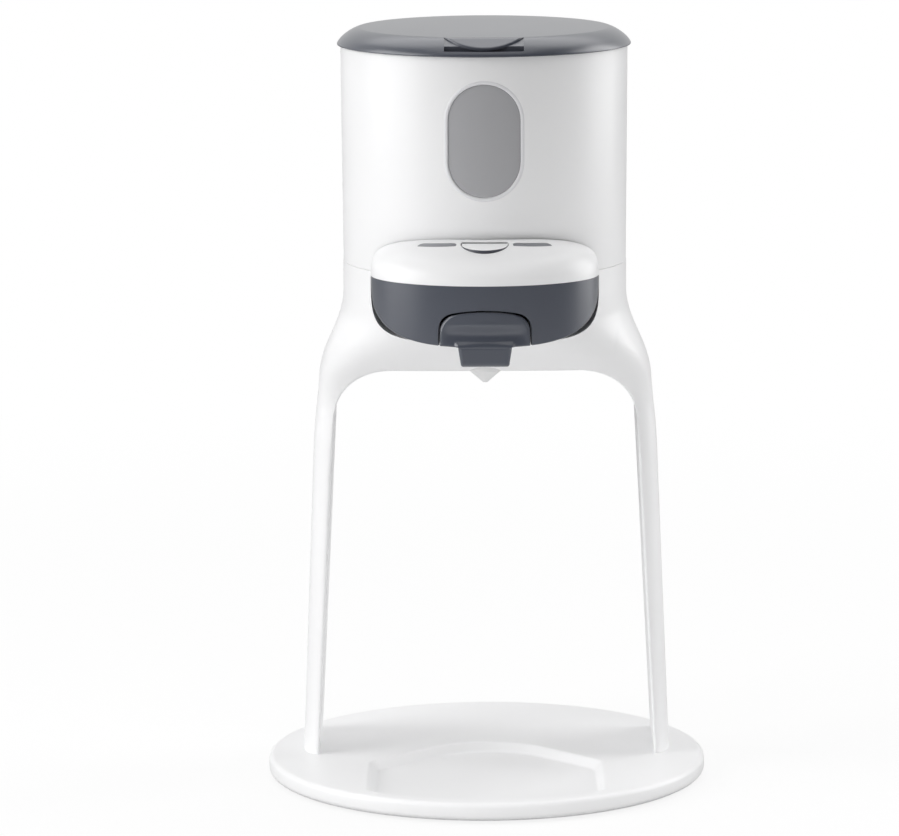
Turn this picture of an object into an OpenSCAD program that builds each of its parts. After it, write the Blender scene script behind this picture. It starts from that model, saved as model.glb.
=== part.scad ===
// Hand-worked baby formula maker. A powder canister stands on an arched stand,
// and a pull-out dosing drawer under it drops one level measure of powder
// through a soft valve into the bottle each time the lever is pressed.
// Millimetres. Origin: centre of the underside. Front is -Y, up is +Z.

/* [Base] */
// Diameter of the round base
base_d = 197; // [190:1:204]
// Height of the base's top face above the table
base_top = 9; // [8.6:0.1:10]
// Depth of the bottle recess in the base
recess_deep = 4; // [3:0.5:4]
// Width of the bottle recess
recess_w = 104.4; // [96:0.4:108]

/* [Stand] */
// Diameter of the round collar that carries the canister
collar_d = 126; // [125:0.5:128]
// Width of the stand across its feet
stand_w = 166; // [160:1:168]
// Width of the arch between the feet
arch_w = 151; // [146:1:152]
// Width of the arch where its round corners start
arch_top_w = 135.6; // [132:0.4:138]
// Height of the arch's crown
arch_h = 187.5; // [184:0.5:188]
// Radius of the arch's round corners
arch_r = 27; // [22:1:30]
// Height of the collar's top edge
collar_top = 234; // [234:0.5:236]

/* [Canister] */
// Height of the canister's top edge
canister_top = 330; // [320:1:340]
// Outer diameter at the top of the canister
canister_d = 127; // [126.5:0.5:128]
// Width of the sight window
window_w = 33.8; // [26:0.2:36]
// Height of the sight window
window_h = 51.6; // [44:0.2:60]
// Height of the middle of the sight window
window_z = 293.5; // [288:0.5:300]
// Diameter of the lid
lid_d = 130; // [129:0.5:132]
// Height of the lid above the canister
lid_h = 8.2; // [8:0.1:9]

/* [Dosing drawer] */
// Width of the drawer's dark bowl
bowl_w = 98.8; // [97:0.2:99]
// How far the bowl stands forward of the middle of the collar
bowl_reach = 95; // [93:0.5:98]
// Height of the white shelf above the bowl's rim
shelf_h = 16.2; // [12:0.2:18]
// Radius of the dosing wheel
wheel_r = 43.4; // [42:0.1:43.4]
// Pockets in the dosing wheel
pockets = 6; // [6:1:6]
// Teeth on the pinion
pinion_teeth = 14; // [14:1:14]
// Module of the rack and pinion
gear_module = 0.9; // [0.9:0.05:0.9]
// Full press of the lever, in degrees
lever_swing = 22; // [22:1:22]

/* [Hidden] */
$fn = 64;
white = [0.93, 0.93, 0.94];
slate = [0.35, 0.36, 0.40];
steel = [0.72, 0.73, 0.75];
pale = [0.86, 0.87, 0.88];
smoke = [0.60, 0.61, 0.62, 0.7];
black = [0.12, 0.12, 0.13];

// Base
base_r = base_d / 2;
base_z = 1;               // underside of the base, above the feet
recess_z = base_top - recess_deep;
recess_slope = 3.4;       // how far the recess's walls lean in
recess_back = -20.5;      // where its sides turn in towards the bottle
bottle_y = -22;           // middle of the bottle and of the outlet
foot_r = 8;
foot_seat = 1.6;          // height of the rubber feet, up to their seats in the cover
foot_at = 58;             // and their place, from the middle along x and y
cover_inset = 6.7;        // ring of the base outside its cover
play = 0.1;               // gap round a piece that is set into another
drill_fn = 24;            // facets of screws and their holes

// Stand: half-width, half-depth, middle and squareness of its outline by height
collar_r = collar_d / 2;
foot_y = 20;
foot_half_deep = 34;
knee_z = 165;             // above this the legs gather into the collar
gathered_z = 222;         // from here up they are the round collar
leg_x = 79;               // middle of each foot
leg_screw_y = [10, 30];   // its screws, one before the other
tenon = [5, 39.8];        // width and depth of the tenon under each foot
tenon_z = 6.5;            // its underside
bay_at = [-36, -23];      // hollow in the head, from its front left corner
bay_size = [72, 62];
tunnel_z = 203.8;         // floor of the drawer tunnel
tunnel_top = collar_top - 2.6;
underside_t = 2.5;        // plate that closes the hollow head
funnel_flange_r = 18;
funnel_r = 16.5;
spout_r = 7.7;            // outside of the funnel's spout
valve_r = 9.3;
valve_z = 187.8;          // underside of the valve's collar

// Drawer: levels of its layers, bottom to top
wheel_y = 8;              // the wheel's axis lies behind the middle
tray_z = 208.6;
tray_floor = 2;
rack_z = tray_z + tray_floor + 0.3;
rack_t = 3.7;
plate_z = rack_z + rack_t + 0.3;
plate_t = 1.5;
wheel_z = plate_z + plate_t + 0.3;
cover_t = 2.6;
cover_z = tunnel_top - 0.4 - cover_t;
wheel_h = cover_z - 0.3 - wheel_z;
rim_z = 235;              // the bowl's rim, in front of the canister
bowl_a = bowl_w / 2;
bowl_b = 37;              // half-depth of the bowl's elliptical front
bowl_y = -(bowl_reach - bowl_b);
bowl_square = 3.3;        // squareness of the bowl's front, seen from the front
tunnel_square = 5;        // the tunnel and the drawer's body are squarer
bowl_wall = 2.4;
inlay_z = 249.2;          // height of the shelf under the two inlays
chamber_r = wheel_r + 0.4;
pocket_r = [19, 38];      // reach of the pockets, from the wheel's axis
pitch_r = pinion_teeth * gear_module / 2;
stroke = pitch_r * 2 * PI / pockets;
lever_arm = stroke / (lever_swing * PI / 180);
pivot_y = -82;
pivot_z = rack_z + rack_t / 2 + lever_arm;
pusher_r = 3.2;
rack_x = [17.5, 22.5];    // sides of the rack's arm
pin_r = 1.5;              // bore for the lever's pin
spring_wire = 0.5;
spindle_r = 3.04;         // bore of what turns on the spindle
boss_r = 6.9;             // slotted boss on the wheel
clutch_r = 4.6;           // clutch collar on the pinion
cover_r = 48.2;           // recess for the wheel's cover
blade_angles = [60, 120]; // the two leveller blades, one at each side of the inlet
blade_from = 19;
blade_l = 20;
blade_t = 1.6;
button_spring_y = -65;
button_spring_z = 216.4;   // foot of the button's spring

// Canister
canister_r = canister_d / 2;
canister_foot_r = canister_r - 0.7;
canister_wall = 2.6;
frame_w = 1.28;           // rim round the window's pane
floor_z = 240;
floor_t = 2.5;
deck_t = 2.6;
deck_r = 59.4;
bush_r = 6;               // seat of the bush in the canister's floor
stirrer_shaft_r = 4;
hub_bore = 1.25;          // hole for the screw that holds the stirrer's key
lid_r = lid_d / 2;
plug_r = 59.2;            // skirt of the lid, inside the canister
seal_r = 58;              // root of the seal's groove
seal_low = 4.6;           // foot of the groove, below the canister's edge
seal_high = 2.2;
lip_y = -53.2;            // where the finger lip leaves the lid's top
lip_slope = 27;

function mix(a, b, t) = a + (b - a) * t;
function smooth(t) = let (u = min(max(t, 0), 1)) u * u * (3 - 2 * u);
// Blend from 0 at height a to 1 at height b
function rise(z, a, b) = smooth((z - a) / (b - a));

// A closed skin through rings of points that all have the same count
module loft(rings) {
    n = len(rings[0]);
    rows = len(rings);
    sides = [for (k = [0:rows - 2], i = [0:n - 1])
        let (j = (i + 1) % n, a = k * n + i, b = k * n + j)
        each [[a, a + n, b + n], [a, b + n, b]]];
    foot = [for (i = [0:n - 1]) i];
    head = [for (i = [n - 1:-1:0]) (rows - 1) * n + i];
    polyhedron([for (r = rings) each r], concat([foot], sides, [head]));
}

// A tube of radius r swept through points, its rings square to the path
module sweep(path, r, sides = 8) {
    n = len(path);
    rings = [for (i = [0:n - 1])
        let (d = path[min(i + 1, n - 1)] - path[max(i - 1, 0)],
             t = d / norm(d),
             s = abs(t.z) > 0.9 ? [1, 0, 0] : [0, 0, 1],
             u = cross(s, t) / norm(cross(s, t)),
             v = cross(t, u))
        [for (k = [0:sides - 1]) path[i] + r * (cos(360 * k / sides) * u + sin(360 * k / sides) * v)]];
    loft(rings);
}

// Part of a ring about the wheel's axis, from r0 to r1, half_angle to each side of angle
module sector(r0, r1, half_angle, angle) {
    steps = 8;
    arc = [for (k = [0:steps]) angle - half_angle + 2 * half_angle * k / steps];
    translate([0, wheel_y])
        polygon(concat([for (w = arc) r1 * [cos(w), sin(w)]],
                       [for (k = [steps:-1:0]) r0 * [cos(arc[k]), sin(arc[k])]]));
}

// ---------------------------------------------------------------- base

// The recess's outline, drawn in by inset: straight sides, a front edge round the
// base's middle, and a back that turns in at 45 degrees and follows the bottle
module recess_outline(inset) {
    half = recess_w / 2 - inset;
    turn = recess_back - inset * 0.4;
    back_r = (half - bottle_y + turn) / sqrt(2);
    touch = back_r / sqrt(2);
    intersection() {
        circle(base_r - 9 - inset, $fn = 96);
        union() {
            translate([-half, -base_r]) square([2 * half, base_r + turn]);
            polygon([[-half, turn], [half, turn], [touch, bottle_y + touch], [-touch, bottle_y + touch]]);
            translate([0, bottle_y]) circle(back_r);
        }
    }
}

// Screw places through the base's cover
function cover_holes() = [for (w = [-25, 205, 70, 110]) 82 * [cos(w), sin(w)]];

module base_plate() {
    lip = 2.6;                    // radius of the rim
    skin = 2.6;                   // thickness of the top
    cover_seat = 1.4;
    rib = 3;                      // ring and wall left round the hollow
    straight = base_top - base_z - 2 * lip;
    pad = [15, 58];               // solid under each foot of the stand
    head_r = 3.1;                 // counterbore for the leg screws
    color(white) difference() {
        rotate_extrude($fn = 128) polygon(concat(
            [[0, base_z]],
            [for (w = [-90:15:90])
                [base_r - lip + lip * cos(w), base_z + lip + lip * sin(w) + (w > 0 ? straight : 0)]],
            [[0, base_top]]));
        // the bottle recess, with leaning walls
        hull() {
            translate([0, 0, recess_z]) linear_extrude(0.01) recess_outline(recess_slope);
            translate([0, 0, base_top]) linear_extrude(0.01) recess_outline(0);
        }
        // hollow underside: deep round the rim, shallow under the recess
        translate([0, 0, -1]) cylinder(r = base_r - cover_inset + 0.2, h = base_z + cover_seat + 1);
        difference() {
            cylinder(r = base_r - cover_inset - rib + 0.2, h = base_top - skin, $fn = 96);
            translate([0, 0, -1]) linear_extrude(base_top) offset(delta = rib) recess_outline(0);
            for (s = [-1, 1]) translate([s * (leg_x + 1) - pad.x / 2, -9, -1]) cube([pad.x, pad.y, base_top]);
            for (p = cover_holes()) translate([p.x, p.y, -1]) cylinder(r = 4, h = base_top);
        }
        // sockets for the feet of the stand and their screws
        for (s = [-1, 1]) {
            translate([s * leg_x - tenon.x / 2 - play, 0, tenon_z - 0.05])
                cube([tenon.x + 2 * play, tenon.y + 2 * play, base_top]);
            for (y = leg_screw_y) translate([s * leg_x, y, 0]) {
                cylinder(r = 1.5, h = base_top, $fn = drill_fn);
                cylinder(r = head_r, h = 4.4, $fn = drill_fn);
            }
        }
        for (p = cover_holes()) translate([p.x, p.y, 0]) cylinder(r = 1.2, h = 5.6, $fn = drill_fn);
    }
}

module base_cover() {
    thick = 1.3;
    head_top = 1.9;               // counterbore for the screws' heads
    color(pale) difference() {
        translate([0, 0, base_z]) cylinder(r = base_r - cover_inset, h = thick, $fn = 96);
        for (x = [-1, 1], y = [-1, 1]) translate([x * foot_at, y * foot_at, 0])
            cylinder(r = foot_r, h = foot_seat);
        for (p = cover_holes()) translate([p.x, p.y, 0]) {
            cylinder(r = 1.4, h = 5, $fn = drill_fn);
            cylinder(r = 2.7, h = head_top, $fn = drill_fn);
        }
    }
}

module rubber_feet() {
    color(black) for (x = [-1, 1], y = [-1, 1]) translate([x * foot_at, y * foot_at, 0])
        rotate_extrude() polygon([[0, 0], [foot_r - 1, 0], [foot_r - 0.3, 0.5],
                                  [foot_r - play, foot_seat], [0, foot_seat]]);
}

// A pan-head screw, its head down, its shaft up
module screw(head_r, head_h, shaft_r, shaft_l) {
    round_r = head_h * 0.4;
    point = 0.8;
    rotate_extrude($fn = drill_fn) polygon([
        [0, 0], [head_r - round_r, 0], [head_r, round_r], [head_r, head_h],
        [shaft_r, head_h], [shaft_r, shaft_l - point], [point / 2, shaft_l], [0, shaft_l]]);
}

module base_screws() {
    color(steel) for (p = cover_holes()) translate([p.x, p.y, base_z + 0.1])
        screw(head_r = 2.5, head_h = 0.8, shaft_r = 1.2, shaft_l = 4.4);
}

module leg_screws() {
    color(steel) for (s = [-1, 1], y = leg_screw_y) translate([s * leg_x, y, 2.6])
        screw(head_r = 3, head_h = 1.8, shaft_r = 1.5, shaft_l = 13);
}

// ---------------------------------------------------------------- stand

// Half-width of the stand at height z: straight splayed legs, then the shoulder
function stand_half(z) = let (leg = stand_w / 2 - 0.0405 * (z - base_top))
    mix(leg, collar_r, 0.12 * rise(z, 150, 185) + 0.88 * rise(z, 181, 221));

// One ring of the stand's outside: a squarish oval at the legs, a circle at the collar
function stand_ring(z, steps = 64) = let (
    gather = rise(z, knee_z, gathered_z),
    a = stand_half(z),
    b = mix(mix(foot_half_deep, 28, rise(z, base_top, 150)), collar_r, gather),
    y = mix(mix(foot_y, 18, rise(z, base_top, 150)), 0, gather),
    square = mix(5, 2, rise(z, knee_z, 215)))
    [for (i = [0:steps - 1]) let (w = 360 * (i + 0.5) / steps, c = cos(w), s = sin(w))
        [a * sign(c) * pow(abs(c), 2 / square), y + b * sign(s) * pow(abs(s), 2 / square), z]];

// The arch that the bottle stands in, as a flat outline of x and height
module arch_outline() {
    corner_x = arch_top_w / 2 - arch_r;
    foot_x = arch_w / 2 + 0.2;
    hull() {
        for (s = [-1, 1]) translate([s * corner_x, arch_h - arch_r]) circle(arch_r, $fn = 72);
        polygon([[-foot_x, base_top - 4], [foot_x, base_top - 4], [0, arch_h - 2 * arch_r]]);
    }
}

module arch_cut() {
    translate([0, 100, 0]) rotate([90, 0, 0]) linear_extrude(200) arch_outline();
}

// Places of the screws in the collar and under the head
function deck_holes() = [for (x = [-54.6, 54.6], y = [-10, 14]) [x, y]];
function underside_holes() = [for (x = [-30, 30], y = [-17, 33]) [x, y]];

module stand_frame() {
    // few sections up the straight legs, closer ones through the shoulder
    levels = [base_top, 45, 85, 125, 150, 165, 172, 178, 183, 188,
              for (z = [192:4:216]) z, gathered_z, collar_top];
    skid_w = 3;
    skid_top = tray_z - play;
    screw_post_r = 3.6;
    color(white) difference() {
        union() {
            difference() {
                loft([for (z = levels) stand_ring(z)]);
                arch_cut();
                drawer_tunnel();
                // hollow above the arch's crown, open below
                difference() {
                    translate([bay_at.x, bay_at.y, 180]) cube([bay_size.x, bay_size.y, tunnel_z - 3 - 180]);
                    for (p = underside_holes()) translate([p.x, p.y, arch_h + underside_t + 0.05])
                        cylinder(r = screw_post_r, h = 20);
                }
            }
            // skids that the drawer runs on
            for (x = [-24, 24]) translate([x - skid_w / 2, -40, tunnel_z - 1])
                cube([skid_w, 84, skid_top - tunnel_z + 1]);
            // tenons that seat in the base
            for (s = [-1, 1]) translate([s * leg_x - tenon.x / 2, play, tenon_z]) cube([tenon.x, tenon.y, 6]);
        }
        // seat for the deck in the collar
        translate([0, 0, tunnel_top]) cylinder(r = deck_r + play, h = 5, $fn = 96);
        // stepped seat for the outlet funnel
        translate([0, bottle_y, tunnel_z - 1.8]) cylinder(r = funnel_flange_r + play, h = 5);
        translate([0, bottle_y, tunnel_z - 11]) cylinder(r = funnel_r + play, h = 11);
        translate([0, bottle_y, arch_h - 1]) cylinder(r = valve_r + 0.4, h = 12);
        for (s = [-1, 1], y = leg_screw_y) translate([s * leg_x, y, 0])
            cylinder(r = 1.5, h = 15.8, $fn = drill_fn);
        for (p = deck_holes()) translate([p.x, p.y, tunnel_top - 9])
            cylinder(r = 1.25, h = 12, $fn = drill_fn);
        for (p = underside_holes()) translate([p.x, p.y, arch_h]) cylinder(r = 1.25, h = 11, $fn = drill_fn);
    }
}

module head_underside() {
    color(white) translate([0, 0, arch_h]) difference() {
        translate([bay_at.x + play, bay_at.y + play, 0])
            cube([bay_size.x - 2 * play, bay_size.y - 2 * play, underside_t]);
        translate([0, bottle_y, -1]) cylinder(r = valve_r + 0.3, h = 5);
        for (p = underside_holes()) translate([p.x, p.y, -1]) {
            cylinder(r = 1.4, h = 5, $fn = drill_fn);
            cylinder(r = 2.7, h = 2.2, $fn = drill_fn);
        }
    }
}

module underside_screws() {
    color(steel) for (p = underside_holes()) translate([p.x, p.y, arch_h])
        screw(head_r = 2.5, head_h = 1.2, shaft_r = 1.25, shaft_l = 10);
}

// The funnel hangs by its flange in the tunnel's floor
module outlet_funnel() {
    top = tunnel_z - 0.3;
    mouth_r = 15;
    flange_t = 1.4;
    foot = valve_z + 0.4;
    cone_foot = 194.6;
    bore_r = spout_r - 1.4;
    color(white) translate([0, bottle_y, 0]) rotate_extrude() polygon([
        [mouth_r, top], [funnel_flange_r, top], [funnel_flange_r, top - flange_t],
        [funnel_r, top - flange_t], [funnel_r, top - 2.6], [spout_r, cone_foot], [spout_r, foot],
        [bore_r, foot], [bore_r, cone_foot + 0.4], [mouth_r, top - 2.2]]);
}

// Soft duckbill valve, pushed on the funnel's spout
module outlet_valve() {
    seat_r = spout_r + 0.05;
    top = 194.2;
    tip = 181.7;
    wall = 1.7;
    slit = 0.2;
    color(pale) translate([0, bottle_y, 0]) difference() {
        rotate_extrude() polygon([
            [seat_r, top], [valve_r, top], [valve_r, valve_z], [valve_r - wall, valve_z - 0.2],
            [1, tip + 0.2], [0, tip], [0, tip + wall], [6.2, valve_z + 0.3], [seat_r, valve_z + 0.3]]);
        translate([-6, -slit / 2, tip - wall]) cube([12, slit, 5]);
    }
}

// ---------------------------------------------------------------- deck

// The powder's way down behind the wheel's axis, used by every layer it passes
module inlet(grow) {
    offset(delta = grow) sector(pocket_r[0], pocket_r[1] + 1, 22, 90);
}

module head_deck() {
    ring_r = 58.6;
    ring_t = 2;
    ring_h = 3;
    color(white) difference() {
        union() {
            translate([0, 0, tunnel_top]) cylinder(r = deck_r, h = deck_t, $fn = 96);
            // ring that centres the canister
            translate([0, 0, tunnel_top]) cylinder(r = ring_r, h = deck_t + ring_h, $fn = 96);
        }
        translate([0, 0, collar_top]) cylinder(r = ring_r - ring_t, h = 5, $fn = 96);
        translate([0, wheel_y, 0]) cylinder(r = 8, h = 300);
        translate([0, 0, 220]) linear_extrude(20) inlet(0);
        for (p = deck_holes()) translate([p.x, p.y, 0]) {
            cylinder(r = 1.4, h = 300, $fn = drill_fn);
            translate([0, 0, collar_top - 1.4]) cylinder(r = 2.7, h = 5, $fn = drill_fn);
        }
    }
}

module deck_screws() {
    color(steel) for (p = deck_holes()) translate([p.x, p.y, collar_top - 0.1]) mirror([0, 0, 1])
        screw(head_r = 2.5, head_h = 1.2, shaft_r = 1.25, shaft_l = 8.6);
}

module inlet_gasket() {
    thick = 0.8;
    color(black) translate([0, 0, collar_top]) linear_extrude(thick) difference() {
        inlet(3);
        inlet(0.4);
    }
}

// ---------------------------------------------------------------- canister

// A stadium as wide and high as the window less inset, cut from front to back
module stadium(inset, from_y, to_y) {
    r = window_w / 2 - inset;
    h = window_h / 2 - window_w / 2;
    translate([0, to_y, window_z]) rotate([90, 0, 0]) linear_extrude(to_y - from_y) {
        for (s = [-1, 1]) translate([0, s * h]) circle(r);
        square([2 * r, 2 * h], center = true);
    }
}

module canister_shell() {
    h = canister_top - collar_top;
    color(white) difference() {
        translate([0, 0, collar_top]) cylinder(r1 = canister_foot_r, r2 = canister_r, h = h, $fn = 128);
        translate([0, 0, floor_z]) cylinder(r = canister_foot_r - canister_wall, h = h, $fn = 128);
        translate([0, 0, collar_top - 1]) cylinder(r = 59, h = floor_z - collar_top + 2, $fn = 128);
        stadium(0, -80, -40);
    }
}

// A tube round the canister's axis that the window's pieces are cut from
module window_tube(inner_r, outer_r) {
    difference() {
        translate([0, 0, 250]) cylinder(r = outer_r, h = 90, $fn = 128);
        translate([0, 0, 249]) cylinder(r = inner_r, h = 92, $fn = 128);
    }
}

module window_pane() {
    color(smoke) intersection() {
        window_tube(canister_foot_r - 2.4, canister_foot_r - 0.4);
        stadium(frame_w + 0.02, -80, -40);
    }
}

module window_frame() {
    color(pale) intersection() {
        window_tube(canister_foot_r - canister_wall, canister_foot_r + 0.3);
        difference() {
            stadium(0.02, -80, -40);
            stadium(frame_w, -81, -39);
        }
    }
}

// Floor of the canister: a shallow hopper round the stirrer's sweep, with a spout
// down to the deck
module canister_floor() {
    wall_r = canister_foot_r - canister_wall;
    hopper_r = 51;
    hopper_top = floor_z + 14;
    boss_z = floor_z - 1.5;
    color(white) difference() {
        union() {
            translate([0, 0, floor_z]) cylinder(r = wall_r, h = floor_t, $fn = 128);
            rotate_extrude($fn = 128) polygon([
                [wall_r, floor_z], [wall_r, hopper_top], [wall_r - 1, hopper_top],
                [hopper_r, floor_z + floor_t], [hopper_r, floor_z]]);
            translate([0, 0, collar_top + 0.9]) linear_extrude(floor_z - collar_top) inlet(2);
            translate([0, wheel_y, boss_z]) cylinder(r = bush_r + 2.5, h = 3);
        }
        translate([0, 0, collar_top]) linear_extrude(12) inlet(0);
        translate([0, wheel_y, 230]) cylinder(r = bush_r, h = 20);
    }
}

module floor_bush() {
    color(pale) translate([0, wheel_y, 0]) difference() {
        union() {
            translate([0, 0, floor_z - 1.5]) cylinder(r = bush_r - 0.02, h = floor_t + 2);
            translate([0, 0, floor_z + floor_t]) cylinder(r = bush_r + 1.6, h = 0.8);
        }
        translate([0, 0, 230]) cylinder(r = stirrer_shaft_r + 0.05, h = 20);
    }
}

// Hub with three swept arms that keep the powder moving, each with a post at its end
module stirrer() {
    hub_z = floor_z + floor_t + 1;
    hub_r = 8;
    hub_h = 9;
    arm_r = 24;
    arm_w = 3.6;
    color(pale) translate([0, wheel_y, 0]) difference() {
        union() {
            translate([0, 0, collar_top + 1.2]) cylinder(r = stirrer_shaft_r, h = hub_z - collar_top);
            translate([0, 0, hub_z]) cylinder(r = hub_r, h = hub_h);
            translate([0, 0, hub_z + hub_h]) cylinder(r1 = hub_r, r2 = 5, h = 3);
            for (w = [90, 210, 330]) rotate(w) {
                translate([0, 0, hub_z]) linear_extrude(3.2) intersection() {
                    difference() {
                        translate([21, 9]) circle(arm_r);
                        translate([21, 9 + arm_w]) circle(arm_r);
                    }
                    translate([0, -20]) square([41, 30]);
                }
                translate([36, -5.3, hub_z]) cylinder(r = 1.8, h = 16, $fn = drill_fn);
            }
        }
        translate([0, 0, collar_top]) cylinder(r = hub_bore, h = 9, $fn = drill_fn);
    }
}

// Key under the floor that couples the stirrer to the dosing wheel's slotted hub
module drive_key() {
    key_z = tunnel_top - 1.6;
    key = [2.6, 11, 3];
    disc_z = tunnel_top + 0.4;
    color(slate) translate([0, wheel_y, 0]) difference() {
        union() {
            translate([-key.x / 2, -key.y / 2, key_z]) cube(key);
            translate([0, 0, disc_z]) cylinder(r = 6.4, h = collar_top + 1.2 - disc_z);
        }
        translate([0, 0, key_z - 1]) cylinder(r = hub_bore, h = 10, $fn = drill_fn);
        translate([0, 0, key_z - 1]) cylinder(r = 2.3, h = 3.45, $fn = drill_fn);
    }
}

module key_screw() {
    color(steel) translate([0, wheel_y, tunnel_top - 0.25])
        screw(head_r = 2.2, head_h = 1.1, shaft_r = hub_bore, shaft_l = 9);
}

// ---------------------------------------------------------------- lid

// Half-moon finger lip that slopes down out of the lid's top, over a notch in its shoulder
module finger_lip() {
    half = 17;
    reach = 8.2;
    thick = 1.45;
    r = (half * half + reach * reach) / (2 * reach);
    translate([0, lip_y, canister_top + lid_h - 0.55]) rotate([lip_slope, 0, 0])
        translate([0, 0, -thick]) linear_extrude(thick) intersection() {
            translate([0, r - reach]) circle(r, $fn = 128);
            translate([-half, -reach]) square([2 * half, reach]);
        }
}

// What is cut from the shoulder round the lip, down to the rim
module lip_notch() {
    half = 17.2;
    back_y = -59;
    rim = canister_top + 1.1;
    high = canister_top + lid_h - 1.05;
    translate([-half, 0, 0]) rotate([90, 0, 90]) linear_extrude(2 * half) polygon([
        [lip_y, high], [back_y, high - tan(lip_slope) * (lip_y - back_y)], [back_y, rim],
        [-80, rim], [-80, high + 5], [lip_y, high + 5]]);
}

module lid_cap() {
    top = canister_top + lid_h;
    edge = 0.4;                   // chamfer under the rim
    skirt_z = canister_top - 6;
    skirt_r = plug_r - 2.2;       // inside of the skirt
    shoulder_r = 55;
    bend = 2 / 1.4;
    shoulder = [for (w = [4:12:88])
        [shoulder_r + (lid_r - shoulder_r) * pow(cos(w), bend),
         canister_top + edge + (lid_h - 1) * pow(sin(w), bend)]];
    groove = [[plug_r, canister_top - seal_low], [seal_r, canister_top - seal_low],
              [seal_r, canister_top - seal_high], [plug_r, canister_top - seal_high]];
    color(slate) {
        difference() {
            rotate_extrude($fn = 128) polygon(concat(
                [[0, top], [0, top - 3], [skirt_r - 1, top - 3.4], [skirt_r, skirt_z], [plug_r, skirt_z]],
                groove,
                [[plug_r + 0.2, canister_top], [lid_r - 0.3, canister_top], [lid_r, canister_top + edge]],
                shoulder,
                [[shoulder_r, top - 0.6], [40, top - 0.2]]));
            lip_notch();
        }
        finger_lip();
    }
}

// Silicone ring in the skirt's groove, with two ribs that touch the canister's wall
module lid_seal() {
    z = canister_top - seal_low;
    root_r = seal_r + 0.05;
    land_r = 59.6;
    rib_r = canister_foot_r - canister_wall - 0.25;
    color(pale) rotate_extrude($fn = 128) polygon([
        [root_r, z + 0.05], [land_r, z + 0.05], [rib_r, z + 0.8], [land_r + 0.2, z + 1.2],
        [rib_r, z + 1.7], [land_r, z + 2.3], [root_r, z + 2.3]]);
}

// ---------------------------------------------------------------- drawer

// The drawer seen from above: elliptical front, straight sides, rear round the wheel
function drawer_ring(grow, steps = 32) = let (a = bowl_a + grow, b = bowl_b + grow)
    concat([for (i = [0:steps]) let (w = 180 + 180 * i / steps) [a * cos(w), bowl_y + b * sin(w)]],
           [for (i = [0:steps]) let (w = 180 * i / steps) [a * cos(w), wheel_y + a * sin(w)]]);

module drawer_outline(grow) {
    polygon(drawer_ring(grow));
}

// The drawer seen from the front: a superellipse that hangs from the rim, half and
// deep, extruded from from_y to to_y
module drawer_section(half, deep, square, from_y, to_y) {
    steps = 24;
    right = [for (i = [0:steps]) let (w = 90 * i / steps)
        [half * pow(cos(w), 2 / square), -deep * pow(sin(w), 2 / square)]];
    left = [for (i = [steps - 1:-1:0]) [-right[i].x, right[i].y]];
    translate([0, to_y, rim_z]) rotate([90, 0, 0]) linear_extrude(to_y - from_y)
        polygon(concat([[-half, 20], [half, 20]], right, left));
}

// The drawer's outside: the bowl in front, the squarer body round the wheel behind
module drawer_form() {
    shoulder_y = -20;
    intersection() {
        translate([0, 0, tray_z]) linear_extrude(rim_z - tray_z) drawer_outline(0);
        union() {
            drawer_section(bowl_a, rim_z - tray_z, bowl_square, -110, shoulder_y);
            drawer_section(bowl_a, rim_z - tray_z, tunnel_square, shoulder_y - 0.1, 70);
        }
    }
}

// Its tunnel in the head. The tunnel's lower corners are squarer than the bowl's,
// which leaves the dark crescents under the bowl's corners
module drawer_tunnel() {
    intersection() {
        translate([0, 0, tunnel_z]) linear_extrude(tunnel_top - tunnel_z) drawer_outline(0.6);
        drawer_section(bowl_a + 0.6, rim_z - tunnel_z, tunnel_square, -110, 70);
    }
}

// The hollow front of the bowl, ahead of the wheel's housing
module front_bay() {
    difference() {
        intersection() {
            translate([0, 0, 200]) linear_extrude(60) drawer_outline(-bowl_wall);
            drawer_section(bowl_a - bowl_wall, rim_z - tray_z - tray_floor, bowl_square, -110, -18);
        }
        translate([0, wheel_y, 190]) cylinder(r = chamber_r + 2.2, h = 60, $fn = 96);
    }
}

// The lever's place in the front of the bowl, as an outline of x and height: a low
// arch with round shoulders, open below
module lever_outline(gap) {
    half = 19.3 + gap;
    top = 223.8 + gap;
    shoulder_r = 7.5;
    crown_r = 70;
    hull() {
        for (s = [-1, 1]) translate([s * (half - shoulder_r), top - shoulder_r - 1.3])
            circle(shoulder_r, $fn = 32);
        intersection() {
            translate([0, top - crown_r]) circle(crown_r, $fn = 256);
            translate([shoulder_r - half, top - 2]) square([2 * (half - shoulder_r), 3]);
        }
        translate([-half, 200]) square([2 * half, 5]);
    }
}

module lever_window(gap, from_y, to_y) {
    translate([0, to_y, 0]) rotate([90, 0, 0]) linear_extrude(to_y - from_y) lever_outline(gap);
}

// Screw places round the wheel's cover
function cover_screw_holes() = [for (w = [35, 145, 215, 325]) [0, wheel_y] + 46.2 * [cos(w), sin(w)]];

// Groove across the drawer's back that lets the stirrer's key pass as it is drawn
module key_groove(foot) {
    wide = 3.8;
    translate([-wide / 2, wheel_y, foot]) cube([wide, 60, 5]);
}

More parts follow.
